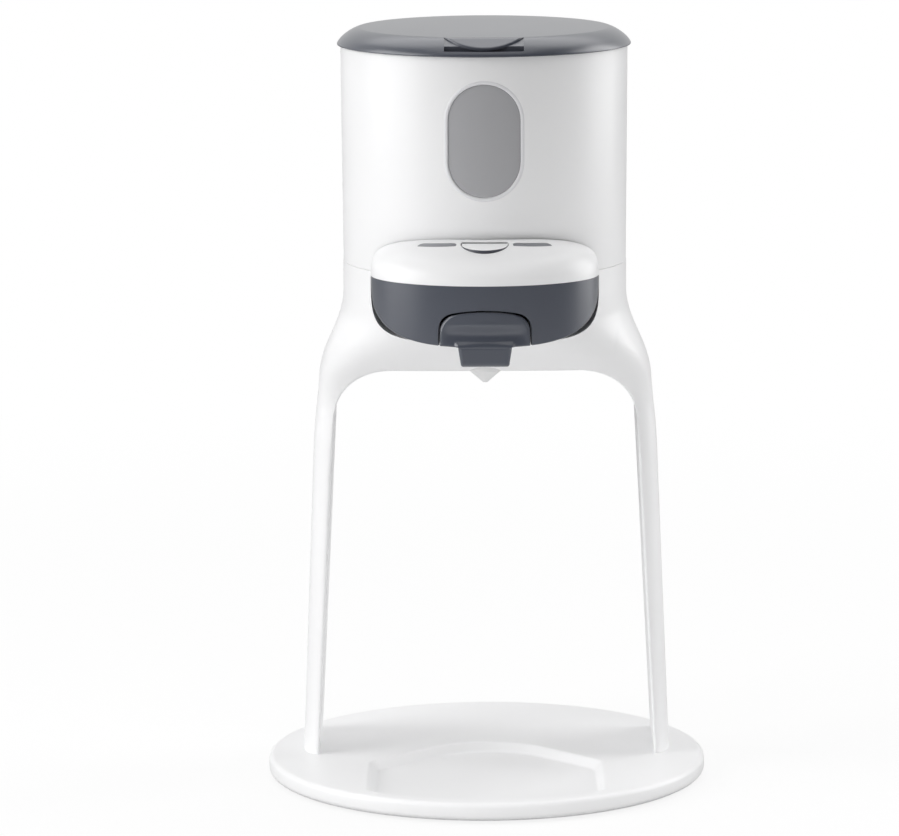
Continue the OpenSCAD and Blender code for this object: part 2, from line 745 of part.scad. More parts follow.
module drawer_tray() {
    ear = [3, 13.8, 7];
    rack_bay = [35.4, 32, 20];
    color(slate) difference() {
        union() {
            difference() {
                drawer_form();
                front_bay();
                // above the wheel cover the rim stands only in front of the canister
                translate([0, 0, tunnel_top - 0.4]) cylinder(r = 63.8, h = 10, $fn = 128);
                lever_window(0.8, -110, -82);
                // way for the lever's tab through the floor
                translate([-20.1, -90, 200]) cube([40.2, 22, 13.6]);
            }
            // ears that hold the lever's pin
            for (s = [-1, 1]) translate([s * 15 - ear.x / 2, pivot_y - 10, pivot_z - 3.4]) cube(ear);
            // guides for the rack
            for (x = [15.6, 22.9]) translate([x, -66, tray_z + 1]) cube([1.4, 26, 4.5]);
            // post under the button's spring
            translate([0, button_spring_y, tray_z + 1])
                cylinder(r = 2.6, h = button_spring_z - tray_z - 1, $fn = 32);
        }
        translate([0, pivot_y, pivot_z]) rotate([0, 90, 0])
            cylinder(r = pin_r, h = 60, center = true, $fn = 32);
        // round chamber for the wheel, and the bay for the rack under it
        translate([0, wheel_y, plate_z]) cylinder(r = chamber_r, h = 40, $fn = 128);
        translate([-11, wheel_y - 13, tray_z + tray_floor]) cube(rack_bay);
        translate([rack_x[0] - 0.3, -79.1, tray_z + tray_floor])
            cube([rack_x[1] - rack_x[0] + 0.6, 89, rack_t + 0.6]);
        key_groove(tunnel_top - 1.9);
        // recess for the cover, and its screws
        translate([0, wheel_y, cover_z]) cylinder(r = cover_r, h = 20, $fn = 128);
        for (p = cover_screw_holes()) translate([p.x, p.y, cover_z - 8])
            cylinder(r = 1.05, h = 12, $fn = drill_fn);
        // outlet and spindle
        translate([0, bottle_y, 200]) cylinder(r = 14, h = 40);
        translate([0, wheel_y, tray_z - 1]) cylinder(r = 3, h = 10, $fn = 32);
        translate([0, wheel_y, tray_z - 1]) cylinder(r = 5, h = 2, $fn = 32);
    }
}

// The white shelf: a thin shell, rounded hard at its sides and softly towards its front
function shelf_ring(k, grow, thin) = [for (p = drawer_ring(grow, 28))
    let (front = min(0, p.y - bowl_y),
         w = front == 0 ? 0 : atan2(-front / bowl_b, abs(p.x) / bowl_a),
         power = mix(3, 2, smooth(w / 90)),
         up = pow(max(0, 1 - pow(k, power)), 1 / power))
    [p.x * k, p.y < bowl_y ? bowl_y + (p.y - bowl_y) * k : p.y, rim_z + 0.05 + (shelf_h - thin) * up]];

module shelf_form(grow, thin) {
    spread = [1, 0.985, 0.96, 0.92, 0.86, 0.78, 0.66, 0.5, 0.3, 0.12];
    loft([for (k = spread) shelf_ring(k, grow, thin)]);
}

// Half-moon of the release button, seen from above
module button_outline(gap) {
    intersection() {
        translate([0, -71.5]) circle(10 + gap);
        translate([-12, -90]) square([24, 90 - 68.6 + gap]);
    }
}

// Lens-shaped inlay beside the button, laid on the shelf's slope; down sinks its face
module inlay(s, gap, down, thick) {
    half_l = 10;
    half_w = 2.8;
    r = (half_l * half_l + half_w * half_w) / (2 * half_w);
    translate([s * 20.8, -70.4, inlay_z]) rotate([16, s * 8, s * 14]) translate([0, 0, -down - thick])
        linear_extrude(thick) intersection() {
            translate([0, r - half_w]) circle(r + gap, $fn = 128);
            translate([0, half_w - r]) circle(r + gap, $fn = 128);
        }
}

module drawer_shelf() {
    color(white) difference() {
        union() {
            difference() {
                shelf_form(0, 0);
                difference() {
                    translate([0, 0, -0.05]) shelf_form(-2.2, 2.2);
                    // solid rear wall, just in front of the canister
                    translate([0, 0, 200]) cylinder(r = 66, h = 80, $fn = 128);
                }
            }
            // lip that drops inside the bowl's rim
            translate([0, 0, rim_z - 1.3]) linear_extrude(1.6) difference() {
                drawer_outline(-bowl_wall - 0.15);
                drawer_outline(-bowl_wall - 1.4);
            }
        }
        translate([0, 0, 200]) cylinder(r = canister_r, h = 80, $fn = 128);
        translate([-60, -26, 220]) cube([120, 110, 60]);
        translate([0, 0, 220]) linear_extrude(40) button_outline(0.6);
        for (s = [-1, 1]) inlay(s, 0.05, -3, 4);
    }
}

module shelf_inlays() {
    color(slate) for (s = [-1, 1]) inlay(s, 0, 0.4, 0.6);
}

module dosing_plate() {
    color(pale) translate([0, 0, plate_z]) difference() {
        translate([0, wheel_y, 0]) cylinder(r = chamber_r - 0.05, h = plate_t, $fn = 128);
        translate([0, 0, -1]) linear_extrude(5) sector(pocket_r[0], pocket_r[1], 18, -90);
        translate([0, wheel_y, -1]) cylinder(r = 8.4, h = 5);
    }
}

module wheel_cover() {
    color(pale) difference() {
        translate([0, wheel_y, cover_z]) cylinder(r = cover_r - play, h = cover_t, $fn = 128);
        translate([0, 0, 220]) linear_extrude(20) inlet(0);
        translate([0, wheel_y, 220]) cylinder(r = boss_r + 0.3, h = 20);
        for (w = blade_angles) translate([0, wheel_y, 0]) rotate(w)
            translate([blade_from - 0.05, -blade_t / 2 - 0.05, cover_z - 1])
                cube([blade_l + play, blade_t + play, 2.25]);
        key_groove(cover_z + cover_t - 1.5);
        for (p = cover_screw_holes()) translate([p.x, p.y, cover_z - 1]) {
            cylinder(r = 1.2, h = 5, $fn = drill_fn);
            translate([0, 0, 2.2]) cylinder(r = 2, h = 5, $fn = drill_fn);
        }
    }
}

module cover_screws() {
    color(steel) for (p = cover_screw_holes()) translate([p.x, p.y, cover_z + cover_t - 0.1])
        mirror([0, 0, 1]) screw(head_r = 1.8, head_h = 1.2, shaft_r = 1.05, shaft_l = 8);
}

module wheel_spindle() {
    shaft_r = spindle_r - 0.06;
    flange = [4.9, 0.9];
    long = 17.1;
    color(steel) translate([0, wheel_y, tray_z + 0.05]) rotate_extrude($fn = 48) polygon([
        [0, 0], [flange.x, 0], flange, [shaft_r, flange.y], [shaft_r, long - 0.6],
        [shaft_r - 0.58, long], [0, long]]);
}

// Soft blade in the cover that wipes each pocket level before it leaves the inlet
module leveller() {
    color(black) translate([0, wheel_y, 0]) for (w = blade_angles) rotate(w)
        translate([blade_from, -blade_t / 2, cover_z - 0.2]) cube([blade_l, blade_t, 1.4]);
}

// ---------------------------------------------------------------- moving parts

// The lever is a panel of the bowl's own front, with a tab below and a pusher behind
module lever() {
    tab_z = 200.1;
    tab_t = 3.4;
    tab_y = -bowl_reach - 0.3;
    tab_corners = [[9.9, 209.4, 1.8], [9.2, tab_z + 1.4, 1.4]];   // x, height and radius
    inner_y = -bowl_reach + bowl_wall;    // just inside the panel's rear face
    arm_t = 2.8;
    arm_x = 10.6;
    bar_z = pivot_z - lever_arm;
    bar_l = 24;
    color(slate) difference() {
        union() {
            intersection() {
                drawer_form();
                translate([0, 0, 200]) linear_extrude(40) difference() {
                    drawer_outline(1);
                    translate([0, bowl_wall]) drawer_outline(-0.3);
                }
                lever_window(0, -110, -80);
            }
            // finger tab, wider at its root
            hull() for (s = [-1, 1], c = tab_corners) translate([s * c[0], tab_y, c[1]])
                rotate([-90, 0, 0]) cylinder(r = c[2], h = tab_t, $fn = 32);
            // two arms up to the pin, and the cross bar that pushes the rack
            for (s = [-1, 1]) translate([s * arm_x - arm_t / 2, 0, 0]) hull() {
                translate([0, pivot_y, pivot_z]) rotate([0, 90, 0]) cylinder(r = 3.4, h = arm_t, $fn = 32);
                translate([0, inner_y, 215]) cube([arm_t, 5.2, 5]);
            }
            translate([0, pivot_y, bar_z]) rotate([0, 90, 0])
                cylinder(r = pusher_r, h = bar_l, center = true, $fn = 48);
            translate([-bar_l / 2, inner_y, bar_z - 1.2]) cube([bar_l, pivot_y - inner_y - 0.5, 2.4]);
        }
        translate([0, pivot_y, pivot_z]) rotate([0, 90, 0])
            cylinder(r = pin_r + 0.05, h = 60, center = true, $fn = 32);
    }
}

module lever_pin() {
    color(steel) translate([0, pivot_y, pivot_z]) rotate([0, 90, 0])
        cylinder(r = pin_r - 0.01, h = 35, center = true, $fn = 32);
}

// Torsion spring round the pin: five turns, one leg on the bowl, one on the lever
module lever_spring() {
    turns = 5;
    r = 2.5;
    half = 3.5;
    coil = [for (i = [0:turns * 12]) let (w = 30 * i)
        [-half + 2 * half * i / (turns * 12), pivot_y - r * cos(w), pivot_z + r * sin(w)]];
    lower_leg = [-half, pivot_y - 5, pivot_z - 12];
    upper_leg = [half, pivot_y - 10, pivot_z + 2.4];
    color(steel) sweep(concat([lower_leg], coil, [upper_leg]), spring_wire, 6);
}

// Rack in the drawer's floor: the bar that the lever pushes, an arm, and the teeth
module drive_rack() {
    pitch = PI * gear_module;
    face = pivot_y + pusher_r + 0.1;
    back = wheel_y + 9;
    tip = pitch_r - gear_module * 0.95;
    root = pitch_r + gear_module * 1.25;
    lean = tan(20) * gear_module;
    teeth_from = wheel_y - 11;
    half_w = pitch * 0.225;
    head_w = 3.6;
    // the tooth gap that faces the pinion's tooth sits on the wheel's axis at rest
    tooth = [for (k = [-4:2]) wheel_y + (k + 0.5) * pitch];
    color(pale) translate([0, 0, rack_z]) linear_extrude(rack_t) {
        translate([-11, face]) square([rack_x[0] + 11.1, head_w]);
        translate([rack_x[0], face]) square([rack_x[1] - rack_x[0], back - face]);
        translate([root, teeth_from]) square([rack_x[0] + 0.1 - root, back - teeth_from]);
        for (y = tooth) polygon([
            [root + 0.1, y - half_w - lean * 1.25], [root + 0.1, y + half_w + lean * 1.25],
            [tip, y + half_w - lean * 0.95], [tip, y - half_w + lean * 0.95]]);
    }
}

// Involute flank of the pinion at radius r, as an angle from the tooth's middle
function flank(r) = let (
    base = pitch_r * cos(20),
    at_pitch = 90 / pinion_teeth * 0.9,
    turn = function (q) let (t = sqrt(max(0, q * q / (base * base) - 1))) t * 180 / PI - atan(t))
    at_pitch + turn(pitch_r) - turn(r);

module pinion_outline() {
    outer = pitch_r + gear_module * 0.9;
    root = pitch_r - gear_module * 1.25;
    base = pitch_r * cos(20);
    radii = [for (k = [0:4]) mix(base, outer, k / 4)];
    polygon([for (n = [0:pinion_teeth - 1]) let (c = 360 * n / pinion_teeth) each concat(
        [root * [cos(c - flank(base)), sin(c - flank(base))]],
        [for (r = radii) r * [cos(c - flank(r)), sin(c - flank(r))]],
        [for (k = [4:-1:0]) radii[k] * [cos(c + flank(radii[k])), sin(c + flank(radii[k]))]],
        [root * [cos(c + flank(base)), sin(c + flank(base))]])]);
}

// Pinion with a one-way clutch collar that drives the wheel on the press stroke only
module ratchet_pinion() {
    color(steel) translate([0, wheel_y, rack_z]) difference() {
        union() {
            linear_extrude(rack_t) pinion_outline();
            translate([0, 0, rack_t - 0.1]) cylinder(r = clutch_r, h = wheel_z - rack_z - rack_t + 3.1);
        }
        translate([0, 0, -1]) cylinder(r = spindle_r, h = 20, $fn = 48);
    }
}

module dosing_wheel() {
    hub_r = 16;
    wall = 2;
    slot = [3, 20, 5];
    color(white) translate([0, wheel_y, 0]) difference() {
        union() {
            // rim, hub ring and vanes, open above and below
            translate([0, 0, wheel_z]) difference() {
                cylinder(r = wheel_r, h = wheel_h, $fn = 128);
                translate([0, 0, -1]) cylinder(r = wheel_r - 1.9, h = wheel_h + 2, $fn = 128);
            }
            for (k = [0:pockets - 1]) rotate(k * 360 / pockets) translate([hub_r - 1, -wall / 2, wheel_z])
                cube([wheel_r - hub_r, wall, wheel_h]);
            translate([0, 0, wheel_z]) cylinder(r = hub_r, h = wheel_h);
            // slotted boss that the stirrer's key drops into
            translate([0, 0, wheel_z]) cylinder(r = boss_r, h = tunnel_top - 0.5 - wheel_z);
        }
        // the hub is cored out from below round its bearing
        translate([0, 0, wheel_z - 1]) difference() {
            cylinder(r = hub_r - wall, h = wheel_h - 1);
            cylinder(r = boss_r, h = wheel_h);
        }
        translate([0, 0, wheel_z - 1]) cylinder(r = spindle_r, h = 10.4, $fn = 48);
        translate([0, 0, wheel_z - 1]) cylinder(r = clutch_r + 0.02, h = 4.05, $fn = 48);
        translate([-slot.x / 2, -slot.y / 2, tunnel_top - 1.8]) cube(slot);
    }
}

module release_button() {
    catch_w = 8;
    color(white) difference() {
        union() {
            intersection() {
                translate([0, 0, 243]) linear_extrude(20) button_outline(0);
                translate([0, 0, -0.2]) shelf_form(0, 0);
            }
            // stem, and the catch that reaches back under the collar
            translate([0, -74, 228]) cylinder(r = 3.2, h = 16, $fn = 32);
            translate([-catch_w / 2, -75, 227]) cube([catch_w, 14, 2.2]);
            translate([-catch_w / 2, -62.5, 228]) cube([catch_w, 1.5, 2.9]);
        }
        translate([0, button_spring_y, 226]) cylinder(r = 1.2, h = 12, $fn = 32);
    }
}

// Compression spring under the button's stem
module button_spring() {
    turns = 5;
    r = 2.4;
    wire = 0.4;
    low = button_spring_z + wire + 0.05;
    high = 226.55;
    color(steel) sweep([for (i = [0:turns * 12]) let (w = 30 * i)
        [r * cos(w), button_spring_y + r * sin(w), mix(low, high, i / (turns * 12))]], wire, 6);
}

base_plate();
base_cover();
rubber_feet();
base_screws();
leg_screws();
stand_frame();
head_underside();
underside_screws();
outlet_funnel();
outlet_valve();
head_deck();
deck_screws();
inlet_gasket();
canister_shell();
window_pane();
window_frame();
canister_floor();
floor_bush();
stirrer();
drive_key();
key_screw();
lid_cap();
lid_seal();
drawer_tray();
drawer_shelf();
shelf_inlays();
dosing_plate();
wheel_cover();
cover_screws();
wheel_spindle();
leveller();
lever_pin();
lever_spring();
lever();
drive_rack();
dosing_wheel();
ratchet_pinion();
release_button();
button_spring();
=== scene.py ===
"""Baby formula maker: the finish of every piece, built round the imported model.

Lengths are millimetres until a mesh is made; X points right, -Y to the front, Z up.
"""
import math

import bmesh
import bpy
import numpy as np
from mathutils import Matrix, Vector
from mathutils.bvhtree import BVHTree


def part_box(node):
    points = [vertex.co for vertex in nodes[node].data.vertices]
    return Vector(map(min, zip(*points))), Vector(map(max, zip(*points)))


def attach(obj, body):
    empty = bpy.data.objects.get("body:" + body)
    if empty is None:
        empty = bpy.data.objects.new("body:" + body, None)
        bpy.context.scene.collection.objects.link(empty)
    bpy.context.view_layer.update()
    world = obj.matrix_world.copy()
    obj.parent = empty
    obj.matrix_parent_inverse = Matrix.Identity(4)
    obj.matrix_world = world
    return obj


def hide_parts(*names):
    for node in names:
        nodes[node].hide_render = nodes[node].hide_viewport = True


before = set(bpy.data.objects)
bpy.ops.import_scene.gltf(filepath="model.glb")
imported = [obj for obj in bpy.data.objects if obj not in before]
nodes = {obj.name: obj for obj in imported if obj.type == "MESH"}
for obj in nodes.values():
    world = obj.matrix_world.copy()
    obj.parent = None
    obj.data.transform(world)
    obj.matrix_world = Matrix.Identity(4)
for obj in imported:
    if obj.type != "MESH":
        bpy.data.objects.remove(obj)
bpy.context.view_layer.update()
MM = 0.001


# ---------------------------------------- camera
# A long lens two metres in front of the table, a little above the canister. It
# looks slightly down, and its frame is shifted as the picture was cropped.
picture_w, picture_h = 899, 836
axis_x, axis_y = 485.3, 404.4  # pixel that the lens points at
look_down = math.radians(9.62)
roll = math.radians(-0.22)


def placed(name, data):
    """An object that shows some data in the scene."""
    made = bpy.data.objects.new(name, data)
    bpy.context.scene.collection.objects.link(made)
    return made


camera = placed("camera", bpy.data.cameras.new("camera"))
camera.data.lens = 194.4
camera.data.sensor_width = 36
camera.data.sensor_fit = "HORIZONTAL"
camera.data.clip_end = 50
camera.data.shift_x = (picture_w / 2 - axis_x) / picture_w
camera.data.shift_y = (axis_y - picture_h / 2) / picture_w
stand_point = Matrix.Translation(Vector((0, -2144, 531.4)) * MM)
tilt = Matrix.Rotation(math.pi / 2 - look_down, 4, "X")
camera.matrix_world = stand_point @ tilt @ Matrix.Rotation(roll, 4, "Z")
bpy.context.scene.camera = camera
bpy.context.scene.view_settings.view_transform = "Standard"


# ---------------------------------------- studio
# White paper that glows to the lens and keeps the object's shadow. Soft boxes at
# both sides leave the darkest band of the canister right of its middle; two more
# hang above, and a low one fills the legs.
class Wire:
    """One output of a node. Arithmetic on it adds Math nodes to its tree."""

    def __init__(self, socket):
        self.socket = socket

    def maths(self, operation, *values):
        tree = Tree(self.socket.id_data)
        return tree.node("ShaderNodeMath", dict(enumerate(values)), operation=operation)

    def __add__(self, other):
        return self.maths("ADD", self, other)

    def __sub__(self, other):
        return self.maths("SUBTRACT", self, other)

    def __mul__(self, other):
        return self.maths("MULTIPLY", self, other)

    def __truediv__(self, other):
        return self.maths("DIVIDE", self, other)


class Tree:
    """A node tree that is being wired."""

    def __init__(self, tree):
        self.tree = tree

    def node(self, kind, inputs=None, out=0, **settings):
        """Adds a node with its settings, and gives values or Wires to its sockets."""
        made = self.tree.nodes.new(kind)
        for key, value in settings.items():
            setattr(made, key, value)
        for key, value in (inputs or {}).items():
            if isinstance(value, Wire):
                self.tree.links.new(value.socket, made.inputs[key])
            else:
                made.inputs[key].default_value = value
        return Wire(made.outputs[out]) if len(made.outputs) else made


def blank_tree(owner):
    """The emptied node tree of a material or a world."""
    owner.use_nodes = True
    owner.node_tree.nodes.clear()
    return Tree(owner.node_tree)


def rays(tree):
    """Wires that tell what asks for a colour: the lens, a reflection, or a ray let through."""
    kinds = ("Camera", "Glossy", "Transmission")
    return [tree.node("ShaderNodeLightPath", out=f"Is {kind} Ray") for kind in kinds]


def fade(tree, value, start, end, low, high):
    """A smooth change from low to high while value goes from start to end."""
    sockets = {0: value, 1: start, 2: end, 3: low, 4: high}
    return tree.node("ShaderNodeMapRange", sockets, interpolation_type="SMOOTHSTEP")


floor_mesh = bpy.data.meshes.new("paper_floor")
floor_mesh.from_pydata([(-6, -4, 0), (6, -4, 0), (6, 14, 0), (-6, 14, 0)], [], [(0, 1, 2, 3)])
paper_floor = placed("paper_floor", floor_mesh)

paper = bpy.data.materials.new("white_paper")
floor_mesh.materials.append(paper)
tree = blank_tree(paper)
lens, reflection, through = rays(tree)
bounce_tone, lens_gain = 0.56, 0.34  # the paper as the object sees it, and what the lens adds
matt = tree.node("ShaderNodeBsdfDiffuse", {"Color": lens * lens_gain + bounce_tone})
glow = tree.node("ShaderNodeEmission", {"Color": (1, 1, 1, 1), "Strength": 1})
place = tree.node("ShaderNodeTexCoord", out="Object")
away = tree.node("ShaderNodeVectorMath", {0: place}, out="Value", operation="LENGTH")
glow_share = (lens + through) * fade(tree, away, 0.15, 1.0, 0.84, 1.0)
surface = tree.node("ShaderNodeMixShader", {0: glow_share, 1: matt, 2: glow})
tree.node("ShaderNodeOutputMaterial", {"Surface": surface})

room = bpy.data.worlds.new("room")
bpy.context.scene.world = room
tree = blank_tree(room)
lens, reflection, through = rays(tree)
ambient = 0.23
heading = tree.node("ShaderNodeTexCoord", out="Generated")
heading = tree.node("ShaderNodeSeparateXYZ", {0: heading}, out="Y")
behind = fade(tree, heading, -0.1, 0.7, -0.12, 0.45)  # reflections see more light at the back
strength = (lens + through) * (1 - ambient) + reflection * behind + ambient
surface = tree.node("ShaderNodeBackground", {"Color": (1, 1, 1, 1), "Strength": strength})
tree.node("ShaderNodeOutputWorld", {"Surface": surface})


def soft_box(name, azimuth, elevation, distance, width, height, power, aim_z=0.2):
    """A rectangular lamp that faces the object's axis; azimuth 0 is the front, 90 the right."""
    aim = Vector((0, 0, aim_z))
    turn, lift = math.radians(azimuth), math.radians(elevation)
    away = Vector((math.sin(turn) * math.cos(lift), -math.cos(turn) * math.cos(lift), math.sin(lift)))
    lamp = placed(name, bpy.data.lights.new(name, "AREA"))
    lamp.data.shape = "RECTANGLE"
    lamp.data.size, lamp.data.size_y = width, height
    lamp.data.energy = power
    lamp.location = aim + away * distance
    lamp.rotation_euler = away.to_track_quat("Z", "Y").to_euler()
    return lamp


soft_box("soft_box_left", -78, 22, 1.5, 1.3, 1.4, 18)
soft_box("soft_box_right", 108, 20, 1.5, 1.1, 1.4, 13)
soft_box("soft_box_top", 0, 84, 1.3, 1.2, 1.2, 4)
soft_box("soft_box_rear", 180, 62, 1.3, 1.6, 0.8, 5)
low_fill = soft_box("low_fill", 8, 32, 0.6, 0.8, 0.12, 1.1, -0.2)
low_fill.visible_glossy = False


# ---------------------------------------- base
# The round base is one gloss white ABS moulding, 8 mm high over its feet, with a
# recess that centres the bottle: its walls lean in and run out softly at the top.
def span(name):
    """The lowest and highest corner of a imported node, in millimetres."""
    low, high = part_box(name)
    return low / MM, high / MM


def moulded(name, colour, roughness, grain, depth, **constants):
    """Injection-moulded plastic: the grain of the tool, and slow changes of gloss and tone."""
    material = bpy.data.materials.new(name)
    tree = blank_tree(material)
    place = tree.node("ShaderNodeTexCoord", out="Object")
    peel = tree.node("ShaderNodeTexNoise", {"Vector": place, "Scale": grain, "Detail": 3.0})
    cloud = tree.node("ShaderNodeTexNoise", {"Vector": place, "Scale": 24.0, "Detail": 2.0})
    bump = tree.node("ShaderNodeBump", {"Strength": depth, "Distance": 0.0003, "Height": peel})
    dull, fresh = [(*[min(c * share, 1) for c in colour], 1) for share in (0.985, 1.015)]
    tone = tree.node("ShaderNodeMix", {"Factor": cloud, 6: dull, 7: fresh}, out=2, data_type="RGBA")
    sockets = {"Base Color": tone, "Roughness": (cloud - 0.5) * 0.05 + roughness, "Normal": bump}
    sockets.update({key.replace("_", " "): value for key, value in constants.items()})
    surface = tree.node("ShaderNodeBsdfPrincipled", sockets)
    tree.node("ShaderNodeOutputMaterial", {"Surface": surface})
    return material


def soften(path, radius, steps=6, closed=False):
    """Rounds the corners of a path with short curves that start radius away from each."""
    path = np.array(path, float)
    radii = np.broadcast_to(radius, len(path))
    out = []
    for i, corner in enumerate(path):
        if not closed and i in (0, len(path) - 1):
            out.append(corner)
            continue
        before, after = path[i - 1] - corner, path[(i + 1) % len(path)] - corner
        start = corner + before * min(0.49, radii[i] / np.linalg.norm(before))
        end = corner + after * min(0.49, radii[i] / np.linalg.norm(after))
        for t in np.linspace(0, 1, steps):
            out.append(start * (1 - t) ** 2 + corner * 2 * t * (1 - t) + end * t * t)
    return np.array(out)


def shaded(mesh, crease):
    """Smooth shading, with edges sharper than crease degrees left crisp."""
    mesh.polygons.foreach_set("use_smooth", [True] * len(mesh.polygons))
    mesh.set_sharp_from_angle(angle=math.radians(crease))


def skin(name, grid, material=None, wrap_rows=False, caps=True, crease=30):
    """A piece through a grid of points: each row is a closed ring, and rows may close too."""
    grid = np.array(grid, float)
    rows, columns = grid.shape[:2]
    faces = []
    for i in range(rows if wrap_rows else rows - 1):
        for j in range(columns):
            k, n = (i + 1) % rows, (j + 1) % columns
            faces.append((i * columns + j, i * columns + n, k * columns + n, k * columns + j))
    if caps and not wrap_rows:
        faces.append(tuple(range(columns)))
        faces.append(tuple(range(rows * columns - 1, (rows - 1) * columns - 1, -1)))
    mesh = bpy.data.meshes.new(name)
    mesh.from_pydata((grid.reshape(-1, 3) * MM).tolist(), [], faces)
    work = bmesh.new()
    work.from_mesh(mesh)
    bmesh.ops.remove_doubles(work, verts=work.verts, dist=1e-7)
    bmesh.ops.dissolve_degenerate(work, edges=work.edges, dist=1e-7)
    bmesh.ops.recalc_face_normals(work, faces=work.faces)
    work.to_mesh(mesh)
    work.free()
    if material:
        mesh.materials.append(material)
    shaded(mesh, crease)
    return placed(name, mesh)


def turns(steps):
    """The angles of a full turn in even steps."""
    return np.linspace(0, 2 * math.pi, steps, endpoint=False)


def turned(name, profile, material, centre=(0, 0), steps=160, closed=False, crease=30):
    """A piece turned about an upright axis from a profile of (radius, height)."""
    rings = [[(centre[0] + r * math.sin(w), centre[1] - r * math.cos(w), z) for w in turns(steps)]
             for r, z in profile]
    return skin(name, rings, material, wrap_rows=closed, caps=False, crease=crease)


def settle(piece):
    """Puts what a piece's modifiers make of it in place of its mesh."""
    graph = bpy.context.evaluated_depsgraph_get()
    mesh = bpy.data.meshes.new_from_object(piece.evaluated_get(graph))
    piece.modifiers.clear()
    piece.data = mesh


def combine(piece, tool, operation="DIFFERENCE"):
    """Cuts a helper solid from a piece, or adds it, and deletes the helper. A helper
    without a material takes the piece's, so that no face is left without one."""
    if not any(tool.data.materials):
        tool.data.materials.clear()
        for material in piece.data.materials:
            tool.data.materials.append(material)
    modifier = piece.modifiers.new("tool", "BOOLEAN")
    modifier.operation = operation
    modifier.solver = "MANIFOLD"
    modifier.object = tool
    settle(piece)
    bpy.data.objects.remove(tool)


def keep_shading(piece, skins, crease=30):
    """After cuts, takes the shading of the faces that were never cut from the uncut skins."""
    near = 2e-5
    mesh = piece.data
    shaded(mesh, crease)
    normals = [Vector(n.vector) for n in mesh.corner_normals]
    for old in skins:
        old.calc_loop_triangles()
        points = [v.co for v in old.vertices]
        triangles = [t.vertices[:] for t in old.loop_triangles]
        loops = [t.loops[:] for t in old.loop_triangles]
        corner = [Vector(n.vector) for n in old.corner_normals]
        tree = BVHTree.FromPolygons(points, triangles)
        for face in mesh.polygons:
            _, flat, _, gap = tree.find_nearest(face.center)
            if gap > near or flat.dot(face.normal) < 0.97:
                continue
            for loop in face.loop_indices:
                place = mesh.vertices[mesh.loops[loop].vertex_index].co
                hit, flat, index, gap = tree.find_nearest(place)
                if gap > near or flat.dot(face.normal) < 0.9:
                    continue
                a, b, c = [points[v] for v in triangles[index]]
                area = (b - a).cross(c - a).length
                shares = [(b - hit).cross(c - hit), (c - hit).cross(a - hit), (a - hit).cross(b - hit)]
                if area > 0:
                    blend = sum((corner[l] * s.length for l, s in zip(loops[index], shares)), Vector())
                    normals[loop] = blend.normalized()
    mesh.normals_split_custom_set(normals)


white = (0.9, 0.9, 0.905)
white_abs = moulded("white_abs", white, 0.34, 700.0, 0.05)
base_low, base_high = span("base_plate")
base_r, base_z, base_top = base_high.x, base_low.z, base_high.z
recess_half, recess_deep, recess_lean, recess_rim = 52.2, 4.0, 3.4, 9
recess_turn = -20.5  # where its sides turn in towards the bottle
bottle_y = -22.0
rim_round = 2.6
cover_seat_r, cover_seat_z = base_r - 6.5, base_z + 1.4

profile = [(0, cover_seat_z), (cover_seat_r, cover_seat_z), (cover_seat_r, base_z)]
for w in np.linspace(-math.pi / 2, math.pi / 2, 17):
    straight = (base_top - base_z - 2 * rim_round) * (w > 0)
    z = base_z + rim_round + rim_round * math.sin(w) + straight
    profile.append((base_r - rim_round * (1 - math.cos(w)), z))
profile.append((0, base_top))
base_shell = turned("base_shell", profile, white_abs, steps=256)
base_skin = base_shell.data.copy()


def recess_ring(inset, z):
    """The recess's outline drawn in by inset: a front round the base's middle, straight
    sides, and a back that turns in at 45 degrees and follows the bottle."""
    half, turn = recess_half - inset, recess_turn - inset * 0.4
    front_r = base_r - recess_rim - inset
    back_r = (half - bottle_y + turn) / math.sqrt(2)
    sweep = math.asin(half / front_r)
    front = [(front_r * math.sin(w), -front_r * math.cos(w)) for w in np.linspace(-sweep, sweep, 49)]
    back = [(back_r * math.sin(w), bottle_y + back_r * math.cos(w))
            for w in np.linspace(math.pi / 4, -math.pi / 4, 25)]
    path = front + [(half, turn)] + back + [(-half, turn)]
    radii = [0] * len(path)
    radii[0] = radii[48] = 1.2
    radii[49] = radii[-1] = 4.0
    ring = soften(path, radii, closed=True)
    return np.column_stack([ring, np.full(len(ring), z)])


bottom = base_top - recess_deep
slope = [(recess_lean + 6, bottom), (recess_lean, bottom), (0, base_top), (-4, base_top + 0.02)]
slope = list(soften(slope, [0, 1.0, 1.2, 0])) + [(-4, base_top + 3)]
combine(base_shell, skin("recess_tool", [recess_ring(d, z) for d, z in slope]))
keep_shading(base_shell, [base_skin])
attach(base_shell, "stand")
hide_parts("base_plate")


# ---------------------------------------- stand
# Two squarish, splayed legs rise into a round collar in one white ABS moulding.
# The bottle's arch is drawn from front to back through it with rounded edges, and
# the drawer's tunnel, the deck's seat and the outlet's bore are cut into its head.
collar_r, collar_top = 63.0, span("stand_frame")[1].z
stand_half_w, arch_foot, arch_half, arch_top, arch_r = 83.0, 75.7, 67.8, 187.5, 27.0
leg_taper, waist_z, knee_z, oval_z, collar_low = 0.0405, 150, 165.0, 215, 222


def ease(value, low, high):
    share = np.clip((value - low) / (high - low), 0, 1)
    return share * share * (3 - 2 * share)


def mix(a, b, share):
    return a + (b - a) * share


